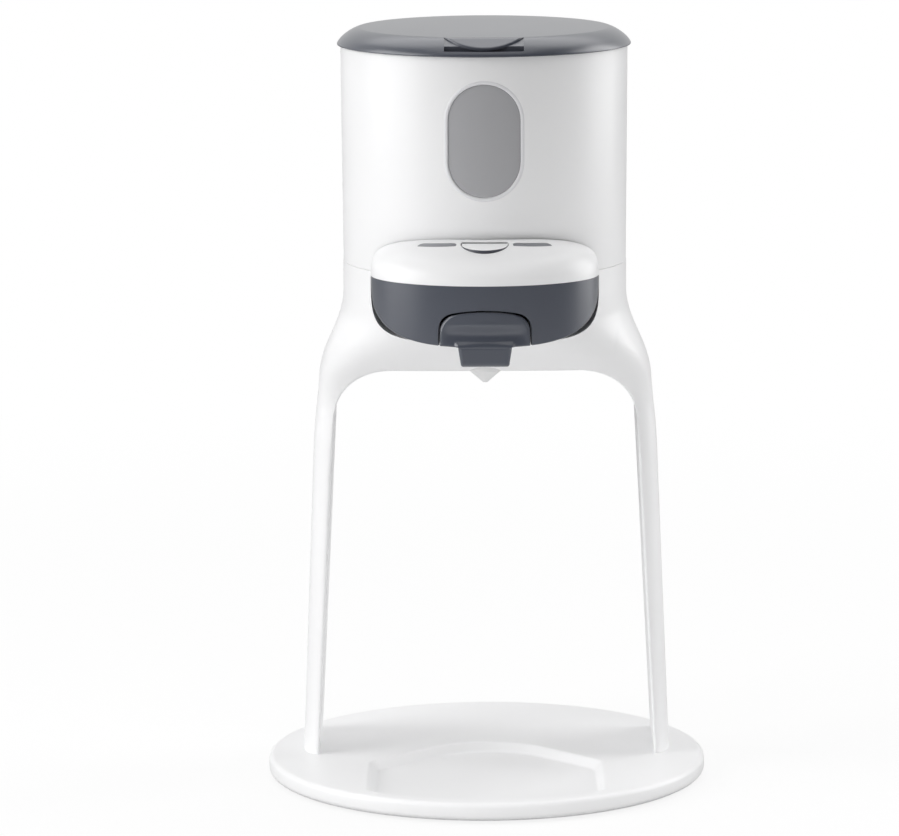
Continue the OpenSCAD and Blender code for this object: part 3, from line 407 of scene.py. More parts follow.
def stand_face(x, z, side):
    """Y of the stand's front (side -1) or back (1) at x and z: a squarish oval in plan
    at the legs, a circle at the collar."""
    half = stand_half(z)
    gather = ease(z, knee_z, collar_low)  # the legs' oval becomes the collar's circle
    leg_share = ease(z, base_top, waist_z)
    deep = mix(mix(34, 28, leg_share), collar_r, gather)
    middle = mix(mix(20, 18, leg_share), 0, gather)
    square = mix(5, 2, ease(z, knee_z, oval_z))
    across = np.minimum(np.abs(x) / half, 1)
    return middle + side * deep * np.maximum(1 - across ** square, 0) ** (1 / square)


def stand_half(z):
    """Half the stand's width: the legs lean in a little, then swing in to the collar."""
    leg = stand_half_w - leg_taper * (z - base_top)
    return mix(leg, collar_r, 0.12 * ease(z, waist_z, 185) + 0.88 * ease(z, 181, 221))


def along(path, count, skip_start=0.0, skip_end=0.0):
    """Points evenly along a path, leaving out a length at each end."""
    path = np.array(path, float)
    steps = np.linalg.norm(np.diff(path, axis=0), axis=1)
    reach = np.concatenate([[0], np.cumsum(steps)])
    half = reach[-1] / 2
    wanted = np.linspace(min(skip_start, half), max(reach[-1] - skip_end, half), count)
    return np.column_stack([np.interp(wanted, reach, path[:, axis]) for axis in range(path.shape[1])])


def bend(start, corner, end):
    """Points between two ends, drawn towards the corner that they round off."""
    return [start * (1 - t) ** 2 + corner * 2 * t * (1 - t) + end * t * t for t in (0.2, 0.4, 0.6, 0.8)]


def stand_section(inner, outer, edge=2.2):
    """One closed ring of the stand: from the arch's edge (inner) to the silhouette
    (outer) over the front, back again over the rear, and through the arch's wall."""
    share = 1 - (1 - np.linspace(0, 1, 400)) ** 3
    x = mix(inner[0], outer[0], share)
    z = mix(inner[1], outer[1], share)
    faces = [np.column_stack([x, stand_face(x, z, side), z]) for side in (-1, 1)]
    front, rear = along(faces[0], 44, edge), along(faces[1][::-1], 44, 0, edge)
    top = along([faces[0][-1], faces[1][-1]], 12)[1:-1]
    wall = along([faces[1][0], faces[0][0]], 14, edge, edge)
    ring = [*front, *top, *rear, *bend(rear[-1], faces[1][0], wall[0])]
    return ring + [*wall, *bend(wall[-1], faces[0][0], front[0])]


arch_corner = np.array([-(arch_half - arch_r), arch_top - arch_r])
legs_end, crown_x = 140, -38  # up to here sections are level; where the fan of sections ends
leg_line = [(-mix(arch_foot, arch_half + 0.02, t), mix(base_top, arch_corner[1] - 1, t))
            for t in np.linspace(0, 1, 40)]
corner_arc = [arch_corner + arch_r * np.array([-math.cos(w), math.sin(w)])
              for w in np.linspace(0, math.pi / 2, 30)]
turning = (-mix(arch_foot, arch_half, 0.87), legs_end)
inner_low = along([p for p in leg_line if p[1] <= legs_end] + [turning], 24)
inner_high = along([turning, *leg_line[36:], *corner_arc], 49)
outer_side = [(-stand_half(z), z) for z in np.linspace(legs_end, collar_top, 200)]
outer_top = [(-collar_r, collar_top), (crown_x, collar_top)]
outer_high = np.vstack([along(outer_side, 37), along(outer_top, 13)[1:]])
sections = [stand_section(p, (-stand_half(p[1]), p[1])) for p in inner_low[:-1]]
sections += [stand_section(p, q) for p, q in zip(inner_high, outer_high)]
for t in np.linspace(0, 1, 15)[1:]:
    sections.append(stand_section((mix(arch_corner[0], 0, t), arch_top), (mix(crown_x, 0, t), collar_top)))
mirrored = [[np.array(p) * (-1, 1, 1) for p in ring] for ring in sections[-2::-1]]
arch_stand = skin("arch_stand", sections + mirrored, white_abs, crease=40)
stand_skin = arch_stand.data.copy()

bowl_half, bowl_deep_y, bowl_y, wheel_y = 49.4, 37.0, -58.0, 8.0
rim_z, tray_z = 235.0, span("drawer_tray")[0].z
tunnel_z, tunnel_top = 203.8, collar_top - 2.6


def drawer_plan(grow, steps=64):
    """The drawer seen from above: an elliptical front, straight sides, a round rear."""
    front = [((bowl_half + grow) * math.sin(w), bowl_y - (bowl_deep_y + grow) * math.cos(w))
             for w in np.linspace(-math.pi / 2, math.pi / 2, steps)]
    rear = [((bowl_half + grow) * math.sin(w), wheel_y + (bowl_half + grow) * math.cos(w))
            for w in np.linspace(math.pi / 2, -math.pi / 2, steps)]
    return front + rear


def prism(name, outline, low, high, axis="Z", material=None):
    """A straight solid: an outline drawn from low to high along an axis."""
    place = {"Z": 2, "Y": 1, "X": 0}[axis]
    return skin(name, [np.insert(np.array(outline, float), place, h, axis=1) for h in (low, high)], material)


def box(name, low, high):
    outline = [(low[0], low[1]), (high[0], low[1]), (high[0], high[1]), (low[0], high[1])]
    return prism(name, outline, low[2], high[2])


def drawer_front(half, deep, square, steps=48):
    """The drawer seen from the front: a superellipse that hangs from the rim."""
    arc = [(half * math.cos(w) ** (2 / square), rim_z - deep * math.sin(w) ** (2 / square))
           for w in np.linspace(0, math.pi / 2, steps)]
    return [(half, rim_z + 20), *arc, *[(-x, z) for x, z in arc[-2::-1]], (-half, rim_z + 20)]


tunnel_play, tunnel_square, deck_r = 0.6, 5.0, 59.5
tunnel = prism("tunnel_tool", drawer_plan(tunnel_play), tunnel_z, tunnel_top)
section = drawer_front(bowl_half + tunnel_play, rim_z - tunnel_z, tunnel_square)
combine(tunnel, prism("section_tool", section, -110, 70, "Y"), "INTERSECT")
combine(arch_stand, tunnel)
seat = [(deck_r * math.sin(w), deck_r * math.cos(w)) for w in turns(160)]
combine(arch_stand, prism("seat_tool", seat, tunnel_top, tunnel_top + 5))
flange_r, funnel_r, spout_r = 18.1, 16.6, 9.7
funnel_bore = [(0, tunnel_z + 3), (flange_r, tunnel_z + 3), (flange_r, tunnel_z - 1.8),
               (funnel_r, tunnel_z - 1.8), (funnel_r, tunnel_z - 11), (spout_r, tunnel_z - 11),
               (spout_r, arch_top - 3), (0, arch_top - 3)]
combine(arch_stand, turned("funnel_tool", funnel_bore, white_abs, (0, bottle_y), 96))
combine(arch_stand, box("bay_tool", (-36, -23, 180), (36, 39, tunnel_z - 3)))
for x in (-24, 24):
    skid = box("skid", (x - 1.5, -40, tunnel_z - 1), (x + 1.5, 44, tray_z - 0.1))
    combine(arch_stand, skid, "UNION")
keep_shading(arch_stand, [stand_skin], 40)
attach(arch_stand, "stand")
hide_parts("stand_frame")


# ---------------------------------------- canister
# The powder canister is a gloss white ABS tube with a slight draft. Its window's
# edge is rounded over, so that a bezel of light runs round the pane.
shell_low, shell_high = span("canister_shell")
foot_r, top_r = 62.8, shell_high.x
wall_in, ledge_r = foot_r - 2.6, 59
floor_z = 240.0
window_z, window_half, window_tall = 293.5, 16.9, 25.8


def shell_r(z):
    return mix(foot_r, top_r, (z - shell_low.z) / (shell_high.z - shell_low.z))


def window_ring(grow, lift, steps=24):
    """The window's outline grown by grow, laid on the shell and lifted off it by lift."""
    r, rise = window_half + grow, window_tall - window_half
    path = [(r * math.sin(w), rise + r * math.cos(w)) for w in np.linspace(-math.pi / 2, math.pi / 2, steps)]
    path += [(r, h) for h in np.linspace(rise, -rise, 12)[1:-1]]
    path += [(-x, -h) for x, h in path[:steps]]
    path += [(-r, h) for h in np.linspace(-rise, rise, 12)[1:-1]]
    return [(x, -math.sqrt((shell_r(window_z + h) + lift) ** 2 - x * x), window_z + h) for x, h in path]


profile = [(foot_r, shell_low.z), (top_r, shell_high.z), (wall_in, shell_high.z), (wall_in, floor_z),
           (ledge_r, floor_z), (ledge_r, shell_low.z)]
profile = soften(profile, [0.5, 0.5, 0.5, 0.2, 0.2, 0.3], 4, closed=True)
canister_body = turned("canister_body", profile, white_abs, steps=256, closed=True)
canister_skin = canister_body.data.copy()
combine(canister_body, skin("window_tool", [window_ring(0, h) for h in (-7, 4)]))
keep_shading(canister_body, [canister_skin])
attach(canister_body, "canister")
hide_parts("canister_shell")


# ---------------------------------------- window
# A thin pale bezel with a round edge is snapped into the canister's window. It
# holds a smoked acrylic pane that follows the canister's curve.
pale_rim = moulded("pale_rim", (0.78, 0.78, 0.80), 0.3, 900.0, 0.03)
edge = [(-0.05, -2.6), (-0.05, 0.01), (0.4, 0.01), (0.35, 0.07), (0.1, 0.16), (-0.2, 0.22)]
edge += [(-0.5, 0.22), (-0.8, 0.14), (-1.05, -0.02), (-1.2, -0.25), (-1.25, -0.5), (-1.25, -2.6)]
window_bezel = skin("window_bezel", [window_ring(g, h) for g, h in edge], pale_rim, wrap_rows=True)
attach(window_bezel, "canister")
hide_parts("window_frame")

smoked = moulded("smoked_acrylic", (0.41, 0.41, 0.425), 0.22, 60.0, 0.02, Coat_Weight=0.4)
edge = [(g, -0.35) for g in np.linspace(-16.85, -1.8, 12)]
edge += [(-1.45, -0.4), (-1.3, -0.6), (-1.3, -2.4), (-16.85, -2.4)]
smoked_pane = skin("smoked_pane", [window_ring(g, h) for g, h in edge], smoked)
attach(smoked_pane, "canister")
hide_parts("window_pane")


# ---------------------------------------- lid
# The slate lid is a satin ABS cap: a nearly flat top, a soft shoulder, and a
# half-moon lip that bends out of the top over a notch for the finger.
slate = (0.056, 0.064, 0.086)
slate_abs = moulded("slate_abs", slate, 0.34, 900.0, 0.06, Coat_Weight=1.0, Coat_Roughness=0.28)
canister_top = shell_high.z
lid_top, lid_r = span("lid_cap")[1].z, span("lid_cap")[1].x
plug_r, groove_r, crown_r, crown_drop = 59.2, 58, 55.0, 0.6
lip_y, lip_slope, lip_bend, lip_half, lip_reach, lip_thick = -53.2, 0.6, 3.0, 17.0, 8.2, 1.45

profile = [(0, lid_top - 3), (56, lid_top - 3.4), (57, canister_top - 6), (plug_r, canister_top - 6)]
profile += [(plug_r, canister_top - 4.6), (groove_r, canister_top - 4.6)]
profile += [(groove_r, canister_top - 2.2), (plug_r, canister_top - 2.2), (plug_r + 0.2, canister_top)]
profile += [(lid_r - 0.35, canister_top), (lid_r - 0.1, canister_top + 0.1)]
for w in np.linspace(0, math.pi / 2, 40):
    out, up = [trig(w) ** (2 / 1.4) for trig in (math.cos, math.sin)]
    profile.append((mix(crown_r, lid_r, out), mix(canister_top + 0.4, lid_top - crown_drop, up)))
profile += [(r, lid_top - crown_drop * (r / crown_r) ** 2.6) for r in np.linspace(52, 0, 14)]
slate_lid = turned("slate_lid", profile, slate_abs, steps=256)
lid_skin = slate_lid.data.copy()

high, notch_y, notch_z, notch_half = lid_top - 1.05, -59.0, canister_top + 2.2, lip_half + 0.2
notch = [(lip_y, high), (notch_y, high - 0.5 * (lip_y - notch_y)), (notch_y, notch_z), (-80, notch_z)]
notch += [(-80, high + 5), (lip_y, high + 5)]
combine(slate_lid, prism("notch_tool", notch, -notch_half, notch_half, "X"))

lip_r = (lip_half ** 2 + lip_reach ** 2) / (2 * lip_reach)


def lip_ring(x):
    """The lip's section at x: along its top from inside the lid, round its edge, and back."""
    reach = math.sqrt(lip_r ** 2 - x * x) - lip_r + lip_reach
    out = min(0.5, reach * 0.45)
    top = [(d, 0) for d in np.linspace(-0.8, reach - out, 30)]
    edge = [(reach - out * 0.3, -0.1), (reach, -0.4), (reach, -1.05), (reach - out * 0.3, -1.33)]
    bottom = [(d, -lip_thick) for d in np.linspace(reach - out, -0.8, 12)]
    ring = []
    for d, lift in top + edge + bottom:
        u = min(max(d / lip_bend, 0), 1)
        drop = lip_slope * (lip_bend * (u ** 3 - u ** 4 / 2) + max(d - lip_bend, 0))
        crown = lid_top - 0.004 - crown_drop * (math.hypot(x, lip_y - min(d, 0)) / crown_r) ** 2.6
        ring.append((x, lip_y - d, crown + lift - drop))
    return ring


across = 0.995 * lip_half * np.sin(np.linspace(-math.pi / 2, math.pi / 2, 81))
lip = skin("lip", [lip_ring(x) for x in across], crease=60)
lip_skin = lip.data.copy()
combine(slate_lid, lip, "UNION")
keep_shading(slate_lid, [lid_skin, lip_skin])
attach(slate_lid, "lid")
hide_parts("lid_cap")


# ---------------------------------------- drawer
# The drawer's tray is a slate ABS moulding: a bowl in front, with a softly broken
# lower edge, and a squarer body behind it that houses the dosing wheel.
bowl_square, wall = 3.3, 2.4
chamber_r, cover_z = 43.8, span("wheel_cover")[0].z
tray_floor = tray_z + 2.0
rack_low, rack_high = span("drive_rack")
pin_low, pin_high = span("lever_pin")
pin_y, pin_z = (pin_low.y + pin_high.y) / 2, (pin_low.z + pin_high.z) / 2
spring_y = -65


def bowl_front(x):
    return bowl_y - bowl_deep_y * np.sqrt(np.maximum(1 - (x / bowl_half) ** 2, 0))


def drum(name, r, low, high, centre=(0, 0), steps=128, material=None):
    """A plain upright cylinder, used as a cutting tool."""
    ring = [(centre[0] + r * math.sin(w), centre[1] + r * math.cos(w)) for w in turns(steps)]
    return prism(name, ring, low, high, material=material)


def rod(name, r, x0, x1, y, z):
    """A plain cylinder along X."""
    return prism(name, [(y + r * math.cos(w), z + r * math.sin(w)) for w in turns(48)], x0, x1, "X")


def bowl_ring(x, z):
    """The bowl's section at x: down its front, round its lower edge, and back."""
    z = min(z, rim_z - 0.05)
    y = bowl_front(x)
    path = [(y, rim_z), (y, z), (-20, z), (-20, rim_z)]
    return [(x, *p) for p in soften(path, [0, min(0.7, (rim_z - z) * 0.45), 0, 0], closed=True)]


bowl_depth = rim_z - tray_z
section = along(drawer_front(bowl_half, bowl_depth, bowl_square)[1:-1], 160)
slate_tray = skin("slate_tray", [bowl_ring(x, z) for x, z in section], slate_abs)
tray_skin = slate_tray.data.copy()
body = prism("body", drawer_plan(0), tray_z, rim_z)
section = drawer_front(bowl_half, bowl_depth, tunnel_square)
combine(body, prism("body_tool", section, -20.1, 70, "Y"), "INTERSECT")
body_skin = body.data.copy()
combine(slate_tray, body, "UNION")

bay = prism("bay_tool", drawer_plan(-wall), 200, 260)
section = drawer_front(bowl_half - wall, rim_z - tray_floor, bowl_square)
combine(bay, prism("bay_section", section, -110, -18, "Y"), "INTERSECT")
combine(bay, drum("housing", chamber_r + 2.2, 190, 270, (0, wheel_y)))
combine(slate_tray, bay)
combine(slate_tray, drum("seat_tool", 63.8, tunnel_top - 0.4, rim_z + 5))

lever_half, lever_top, lever_shoulder, lever_crown = 19.3, 223.8, 7.5, 70.0


def lever_arch(gap, low=199.0):
    """The lever's arch seen from the front, grown by gap and open below."""
    half, top = lever_half + gap, lever_top + gap
    centre = np.array([half - lever_shoulder, top - lever_shoulder - 1.3])
    lean = math.asin((half - lever_shoulder) / lever_crown)
    crown = [(lever_crown * math.sin(w), top - lever_crown + lever_crown * math.cos(w))
             for w in np.linspace(-lean, lean, 25)[1:-1]]
    right = [centre + lever_shoulder * np.array([math.sin(w), math.cos(w)])
             for w in np.linspace(lean, math.pi / 2, 17)]
    left = [(-x, z) for x, z in right[::-1]]
    return [(-half, low), *left, *crown, *right, (half, low)]


combine(slate_tray, prism("window_tool", lever_arch(0.8), -110, -89.5, "Y"))
combine(slate_tray, prism("way_tool", lever_arch(0.2), -90, -82, "Y"))
combine(slate_tray, box("tab_way", (-19.5, -90, 200), (19.5, -68, 213.6)))
for x in (-15, 15):
    ear = box("ear", (x - 1.5, pin_y - 10, pin_z - 3.4), (x + 1.5, pin_y + 3.8, pin_z + 3.6))
    combine(slate_tray, ear, "UNION")
for x in (15.6, 22.9):
    guide = box("guide", (x, -66, tray_z + 1), (x + 1.4, -40, tray_z + 5.5))
    combine(slate_tray, guide, "UNION")
combine(slate_tray, drum("post", 2.6, tray_z + 1, 216.4, (0, spring_y), 32), "UNION")
for tool in (
    rod("pin_tool", 1.5, -30, 30, pin_y, pin_z),
    drum("chamber_tool", chamber_r, rack_high.z + 0.3, 250, (0, wheel_y)),
    box("rack_bay", (-11, wheel_y - 13, tray_floor), (24.4, wheel_y + 19, 230)),
    box("rack_way", (17.2, -79.1, tray_floor), (22.8, 9.9, rack_high.z + 0.3)),
    box("key_groove", (-1.9, wheel_y, tunnel_top - 1.9), (1.9, wheel_y + 60, 245)),
    drum("cover_seat", 48.2, cover_z, 250, (0, wheel_y)),
    drum("outlet_tool", 14, 200, 240, (0, bottle_y), 64),
    drum("spindle_tool", 3, tray_z - 1, 220, (0, wheel_y), 48),
    drum("flange_tool", 5, tray_z - 1, tray_z + 1, (0, wheel_y), 48),
):
    combine(slate_tray, tool)
keep_shading(slate_tray, [tray_skin, body_skin])
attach(slate_tray, "drawer")
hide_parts("drawer_tray")


# ---------------------------------------- lever
# The lever is a slate panel of the bowl's own front. Its face is dished for the
# thumb and runs over a ridge into a tab with bevelled sides; two arms reach up to
# the pin and a bar behind pushes the rack.
tab_face, tab_root, tab_half, tab_low, tab_low_half, tab_round = -95.3, 209.4, 11.7, 200.1, 10.6, 1.4


def bowl_low(x):
    """Height of the bowl's lower edge."""
    return rim_z - bowl_depth * (1 - (np.abs(x) / bowl_half) ** bowl_square) ** (1 / bowl_square)


def rounded(a, b):
    """How far outside a corner a point lies, from how far it is past each of the two sides."""
    return np.hypot(np.maximum(a, 0), np.maximum(b, 0)) + np.minimum(np.maximum(a, b), 0)


def lever_depth(x, z):
    """How far a point of the lever's front view lies inside its outline, and its tab's."""
    side = np.abs(x) - lever_half + lever_shoulder
    top = np.hypot(x, z - lever_top + lever_crown) - lever_crown + lever_shoulder
    panel = np.maximum(rounded(side, top) - lever_shoulder, bowl_low(x) - z)
    flank = np.abs(x) - mix(tab_low_half, tab_half, (z - tab_low) / (tab_root - tab_low)) + tab_round
    foot = tab_low + tab_round - z
    tab = np.maximum(rounded(flank, foot) - tab_round, z - tab_root)
    return -np.minimum(panel, tab), -tab


def lever_face(x, z):
    """Y of the lever's front: dished panel above, ridge, flat tab below, round edges."""
    depth, tab_depth = lever_depth(x, z)
    dish = 1.5 * (1 - ease(np.abs(z - 213.6), 0, 5.2)) * np.maximum(1 - (np.abs(x) / 18) ** 4, 0)
    panel = bowl_front(x) + dish
    tab = tab_face + 0.05 * (tab_root - z) + 0.9 * (1 - ease(tab_depth, 0, 1.5)) * (z < tab_root - 1)
    reach = (1 - ease(z, 208.6, 211.4)) * (1 - ease(np.abs(x), 11.4, 13.4))
    edge = np.clip(0.6 - depth, 0, 0.6)
    return mix(panel, tab, reach) + 0.6 - np.sqrt(0.36 - edge ** 2)


x = np.arange(-20.1, 20.2, 0.3)
rings = []
for z in np.arange(199.5, 224.8, 0.3):
    face = np.column_stack([x, lever_face(x, z), np.full_like(x, z)])
    rear_y = np.maximum(bowl_front(x) + wall, tab_face + 3.4 - 20 * (z > 209))
    rear = np.column_stack([x, rear_y, np.full_like(x, z)])
    rings.append([*face, *rear[::-1]])
slate_lever = skin("slate_lever", rings, slate_abs, crease=60)
lever_skin = slate_lever.data.copy()
panel_low = [(x, bowl_low(x)) for x in np.linspace(lever_half, -lever_half, 40)]
outline = prism("outline", lever_arch(0)[1:-1] + panel_low, -110, -80, "Y")
corner = [(tab_low_half - 0.15 - tab_round * (1 - math.cos(w)), tab_low + tab_round * (1 - math.sin(w)))
          for w in np.linspace(0, math.pi / 2, 9)]
tab_line = [(tab_half, tab_root), *corner, *[(-x, z) for x, z in corner[::-1]], (-tab_half, tab_root)]
combine(outline, prism("tab", tab_line, -110, -80, "Y"), "UNION")
combine(slate_lever, outline, "INTERSECT")
bar_z = (rack_low.z + rack_high.z) / 2
inner_y = bowl_front(0) + wall
eye_r = 3.4
arm = [(pin_y + eye_r * math.cos(w), pin_z + eye_r * math.sin(w))
       for w in np.linspace(-0.5, math.pi * 0.95, 24)]
arm += [(inner_y, 220), (inner_y, 215), (inner_y + 5.2, 215)]
for x in (-10.6, 10.6):
    combine(slate_lever, prism("arm", arm, x - 1.4, x + 1.4, "X"), "UNION")
combine(slate_lever, rod("bar", 3.2, -12, 12, pin_y, bar_z), "UNION")
web = box("web", (-12, inner_y, bar_z - 1.2), (12, pin_y - 0.5, bar_z + 1.2))
combine(slate_lever, web, "UNION")
combine(slate_lever, rod("pin_tool", 1.55, -30, 30, pin_y, pin_z))
keep_shading(slate_lever, [lever_skin], 60)
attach(slate_lever, "lever")
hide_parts("lever")


# ---------------------------------------- shelf
# The white shelf snaps on the bowl: a thin ABS shell, hard at its sides and soft to
# the front, with a hole for the half-moon button and two lens-shaped pockets. Slate
# inlays in the pockets are painted shade, for the shade in two shallow dips. Its
# faces that are turned round the canister are slate.
shelf_z, shelf_seat_r = rim_z + 0.05, 63.5
shelf_h = span("drawer_shelf")[1].z - shelf_z


def shelf_rows(grow, thin, sink=0.0, levels=44):
    """Rings of the shelf's dome, from its rim to the middle."""
    plan = np.array(drawer_plan(grow, 72))
    ahead = np.minimum(plan[:, 1] - bowl_y, 0)
    turn = np.arctan2(-ahead / bowl_deep_y, np.abs(plan[:, 0]) / bowl_half)
    power = mix(3, 2, ease(turn / (math.pi / 2), 0, 1))
    rows = []
    for w in np.linspace(0, math.radians(88), levels):
        k = math.cos(w) ** 0.8
        up = np.maximum(1 - k ** power, 0) ** (1 / power)
        y = np.where(ahead < 0, bowl_y + ahead * k, plan[:, 1])
        rows.append(np.column_stack([plan[:, 0] * k, y, shelf_z - sink + (shelf_h - thin) * up]))
    return rows


white_shelf = skin("white_shelf", shelf_rows(0, 0), white_abs)
shelf_skin = white_shelf.data.copy()
hollow = skin("hollow", shelf_rows(-2.2, 2.2, 0.05), white_abs)
combine(hollow, drum("rear_wall", 66, 200, 280, material=slate_abs))
combine(white_shelf, hollow)
snap = prism("snap", drawer_plan(-wall - 0.15), rim_z - 1.3, rim_z + 0.3, material=white_abs)
combine(snap, prism("snap_tool", drawer_plan(-wall - 1.4), rim_z - 2, rim_z + 1))
for piece, steps in ((white_shelf, 256), (snap, 128)):
    combine(piece, drum("canister_tool", shelf_seat_r, 200, 280, steps=steps, material=slate_abs))
    combine(piece, box("rear_tool", (-60, -26, 220), (60, 84, 280)))
combine(white_shelf, snap, "UNION")

button_y, button_r, button_rear = -71.5, 10.0, -68.6


def half_moon(r, y, rear):
    """The button's outline seen from above: a circle cut straight at its rear."""
    sweep = math.pi - math.acos(min((rear - y) / r, 1))
    return [(r * math.sin(w), y - r * math.cos(w)) for w in np.linspace(-sweep, sweep, 81)]


button_hole = half_moon(button_r + 0.4, button_y, button_rear + 0.6)
combine(white_shelf, prism("button_tool", button_hole, 220, 270))


def grip_plan(side, grow):
    """A grip seen from above: a bowed band with round ends, turned towards the button."""
    s = np.sin(np.linspace(-math.pi / 2, math.pi / 2, 41))
    near = np.column_stack([(8.6 + grow) * s, -grow - 1.6 * (1 - s ** 2)])
    far = near[-2:0:-1] + np.column_stack([0 * s[1:-1], (5.0 + 2 * grow) * np.sqrt(1 - s[1:-1] ** 8)])
    turn = side * math.radians(14)
    spin = np.array([[math.cos(turn), math.sin(turn)], [-math.sin(turn), math.cos(turn)]])
    return np.vstack([near, far]) @ spin + (side * 20.8, -71.6)


grips = []
for side in (-1, 1):
    pocket = prism("pocket", grip_plan(side, 0), 242, 270)
    combine(pocket, skin("pocket_floor", shelf_rows(0, 0, 0.8)))
    combine(white_shelf, pocket)
    # Painted shade: the inlay's slate stands for the shade in a shallow dip of the shelf.
    grip = prism("grip", grip_plan(side, -0.06), 242, 270, material=slate_abs)
    combine(grip, skin("grip_floor", shelf_rows(0, 0, 0.75)))
    combine(grip, skin("grip_top", shelf_rows(0, 0, 0.05)), "INTERSECT")
    grips.append(grip)
keep_shading(white_shelf, [shelf_skin])
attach(white_shelf, "drawer")
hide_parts("drawer_shelf")

painted_shade_grips = grips[0]
combine(painted_shade_grips, grips[1], "UNION")
keep_shading(painted_shade_grips, [shelf_skin])
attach(painted_shade_grips, "drawer")
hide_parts("shelf_inlays")


# ---------------------------------------- button
# The half-moon button is white, with painted shade in slate on its faces that
# don't look up and on a strip along its straight rear, for the dark gaps round it.
# It is flatter than the shelf, so its front stands proud for the finger.
button_painted_shade = moulded("two_shot_abs", white, 0.34, 700.0, 0.05)
tree = Tree(button_painted_shade.node_tree)
shader = next(n for n in button_painted_shade.node_tree.nodes if n.type == "BSDF_PRINCIPLED")
white_tone = Wire(shader.inputs["Base Color"].links[0].from_socket)
place = tree.node("ShaderNodeTexCoord", out="Object")
facing = tree.node("ShaderNodeTexCoord", out="Normal")
strip = tree.node("ShaderNodeSeparateXYZ", {0: place}, out="Y")
face = tree.node("ShaderNodeSeparateXYZ", {0: facing}, out="Z")
# Painted shade: faces that don't look up, and the strip along the rear, turn slate.
face = face.maths("GREATER_THAN", face, 0.6) * strip.maths("LESS_THAN", strip, (button_rear - 1.5) * MM)
both = {"Factor": face, 6: (0.07, 0.073, 0.09, 1), 7: white_tone}
tone = tree.node("ShaderNodeMix", both, out=2, data_type="RGBA")
button_painted_shade.node_tree.links.new(tone.socket, shader.inputs["Base Color"])


def button_ring(inset, sink):
    """The button's outline on its own plane, which rises less than the shelf does."""
    ring = np.array(half_moon(button_r - inset, button_y, button_rear - inset * 0.5))
    height = shelf_top - 0.15 + (ring[:, 1] - button_rear) * 0.115
    return np.column_stack([ring, height - sink])


shelf_top = shelf_z + shelf_h * math.sqrt(1 - ((bowl_y - button_rear) / bowl_deep_y) ** 2)
edge = [(0, 5.5), (0, 0.4), (0.06, 0.15), (0.2, 0.04), (0.45, 0)]
moon_button = skin("moon_button", [button_ring(d, h) for d, h in edge], button_painted_shade, crease=50)
combine(moon_button, drum("stem", 3.2, 228, 246, (0, -74), 48), "UNION")
combine(moon_button, box("catch", (-4, -75, 227), (4, -61, 229.2)), "UNION")
combine(moon_button, box("catch_hook", (-4, -62.5, 228), (4, -61, 230.9)), "UNION")
combine(moon_button, drum("spring_cup", 3.8, 227.2, 230.4, (0, spring_y), 48), "UNION")
combine(moon_button, drum("spring_seat", 3.05, 226, 229.3, (0, spring_y), 48))
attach(moon_button, "button")
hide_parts("release_button")


# ---------------------------------------- screws
# Bright steel pan-head screws with a cross recess and a rolled thread. One tree of
# geometry nodes draws a screw from its sizes and sets it at every hole.
def metal(name, colour, roughness, scratch):
    """Metal with fine lines round its axis from turning."""
    material = bpy.data.materials.new(name)
    tree = blank_tree(material)
    place = tree.node("ShaderNodeTexCoord", out="Object")
    lines = {"Vector": place, "Scale": scratch, "Distortion": 2.0}
    lines = tree.node("ShaderNodeTexWave", lines, wave_type="RINGS", rings_direction="Z")
    polish = {"Base Color": (*colour, 1), "Metallic": 1.0, "Roughness": lines * 0.12 + roughness}
    surface = tree.node("ShaderNodeBsdfPrincipled", polish)
    tree.node("ShaderNodeOutputMaterial", {"Surface": surface})
    return material


def parametric(name, labels):
    """An empty tree of geometry nodes, and the Wires of its geometry and its sizes."""
    group = bpy.data.node_groups.new(name, "GeometryNodeTree")
    group.interface.new_socket("Geometry", in_out="INPUT", socket_type="NodeSocketGeometry")
    for label in labels:
        group.interface.new_socket(label, in_out="INPUT", socket_type="NodeSocketFloat")
    group.interface.new_socket("Geometry", in_out="OUTPUT", socket_type="NodeSocketGeometry")
    given = group.nodes.new("NodeGroupInput")
    return Tree(group), [Wire(given.outputs[label]) for label in ["Geometry", *labels]]


def joined(tree, *wires):
    """Several geometries as one."""
    join = tree.node("GeometryNodeJoinGeometry")
    for wire in wires:
        tree.tree.links.new(wire.socket, join.socket.node.inputs[0])
    return join


def raised(tree, wire, height):
    """Geometry moved up by a height."""
    lift = tree.node("ShaderNodeCombineXYZ", {"Z": height})
    return tree.node("GeometryNodeTransform", {"Geometry": wire, "Translation": lift})


def swept(tree, path, sides, r):
    """A rod along a curve."""
    ring = tree.node("GeometryNodeCurvePrimitiveCircle", {"Resolution": sides, "Radius": r})
    rod = {"Curve": path, "Profile Curve": ring, "Fill Caps": True}
    return tree.node("GeometryNodeCurveToMesh", rod)


def delivered(tree, wire, material):
    """Ends a tree with real geometry in one material."""
    wire = tree.node("GeometryNodeRealizeInstances", {0: wire})
    wire = tree.node("GeometryNodeSetMaterial", {"Geometry": wire, "Material": material})
    tree.node("NodeGroupOutput", {0: wire})


def grown(name, points, edges, tree, sizes, replaced, body, flip=False):
    """Runs a tree of geometry nodes on points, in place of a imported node."""
    mesh = bpy.data.meshes.new(name)
    mesh.from_pydata((np.array(points, float) * MM).tolist(), edges, [])
    piece = placed(name, mesh)
    modifier = piece.modifiers.new("shape", "NODES")
    modifier.node_group = tree.tree
    for socket in tree.tree.interface.items_tree:
        if socket.name in sizes:
            modifier[socket.identifier] = sizes[socket.name] * MM
    settle(piece)
    if flip:
        piece.data.transform(Matrix.Rotation(math.pi, 4, "X"))
    shaded(piece.data, 35)
    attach(piece, body)
    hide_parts(replaced)


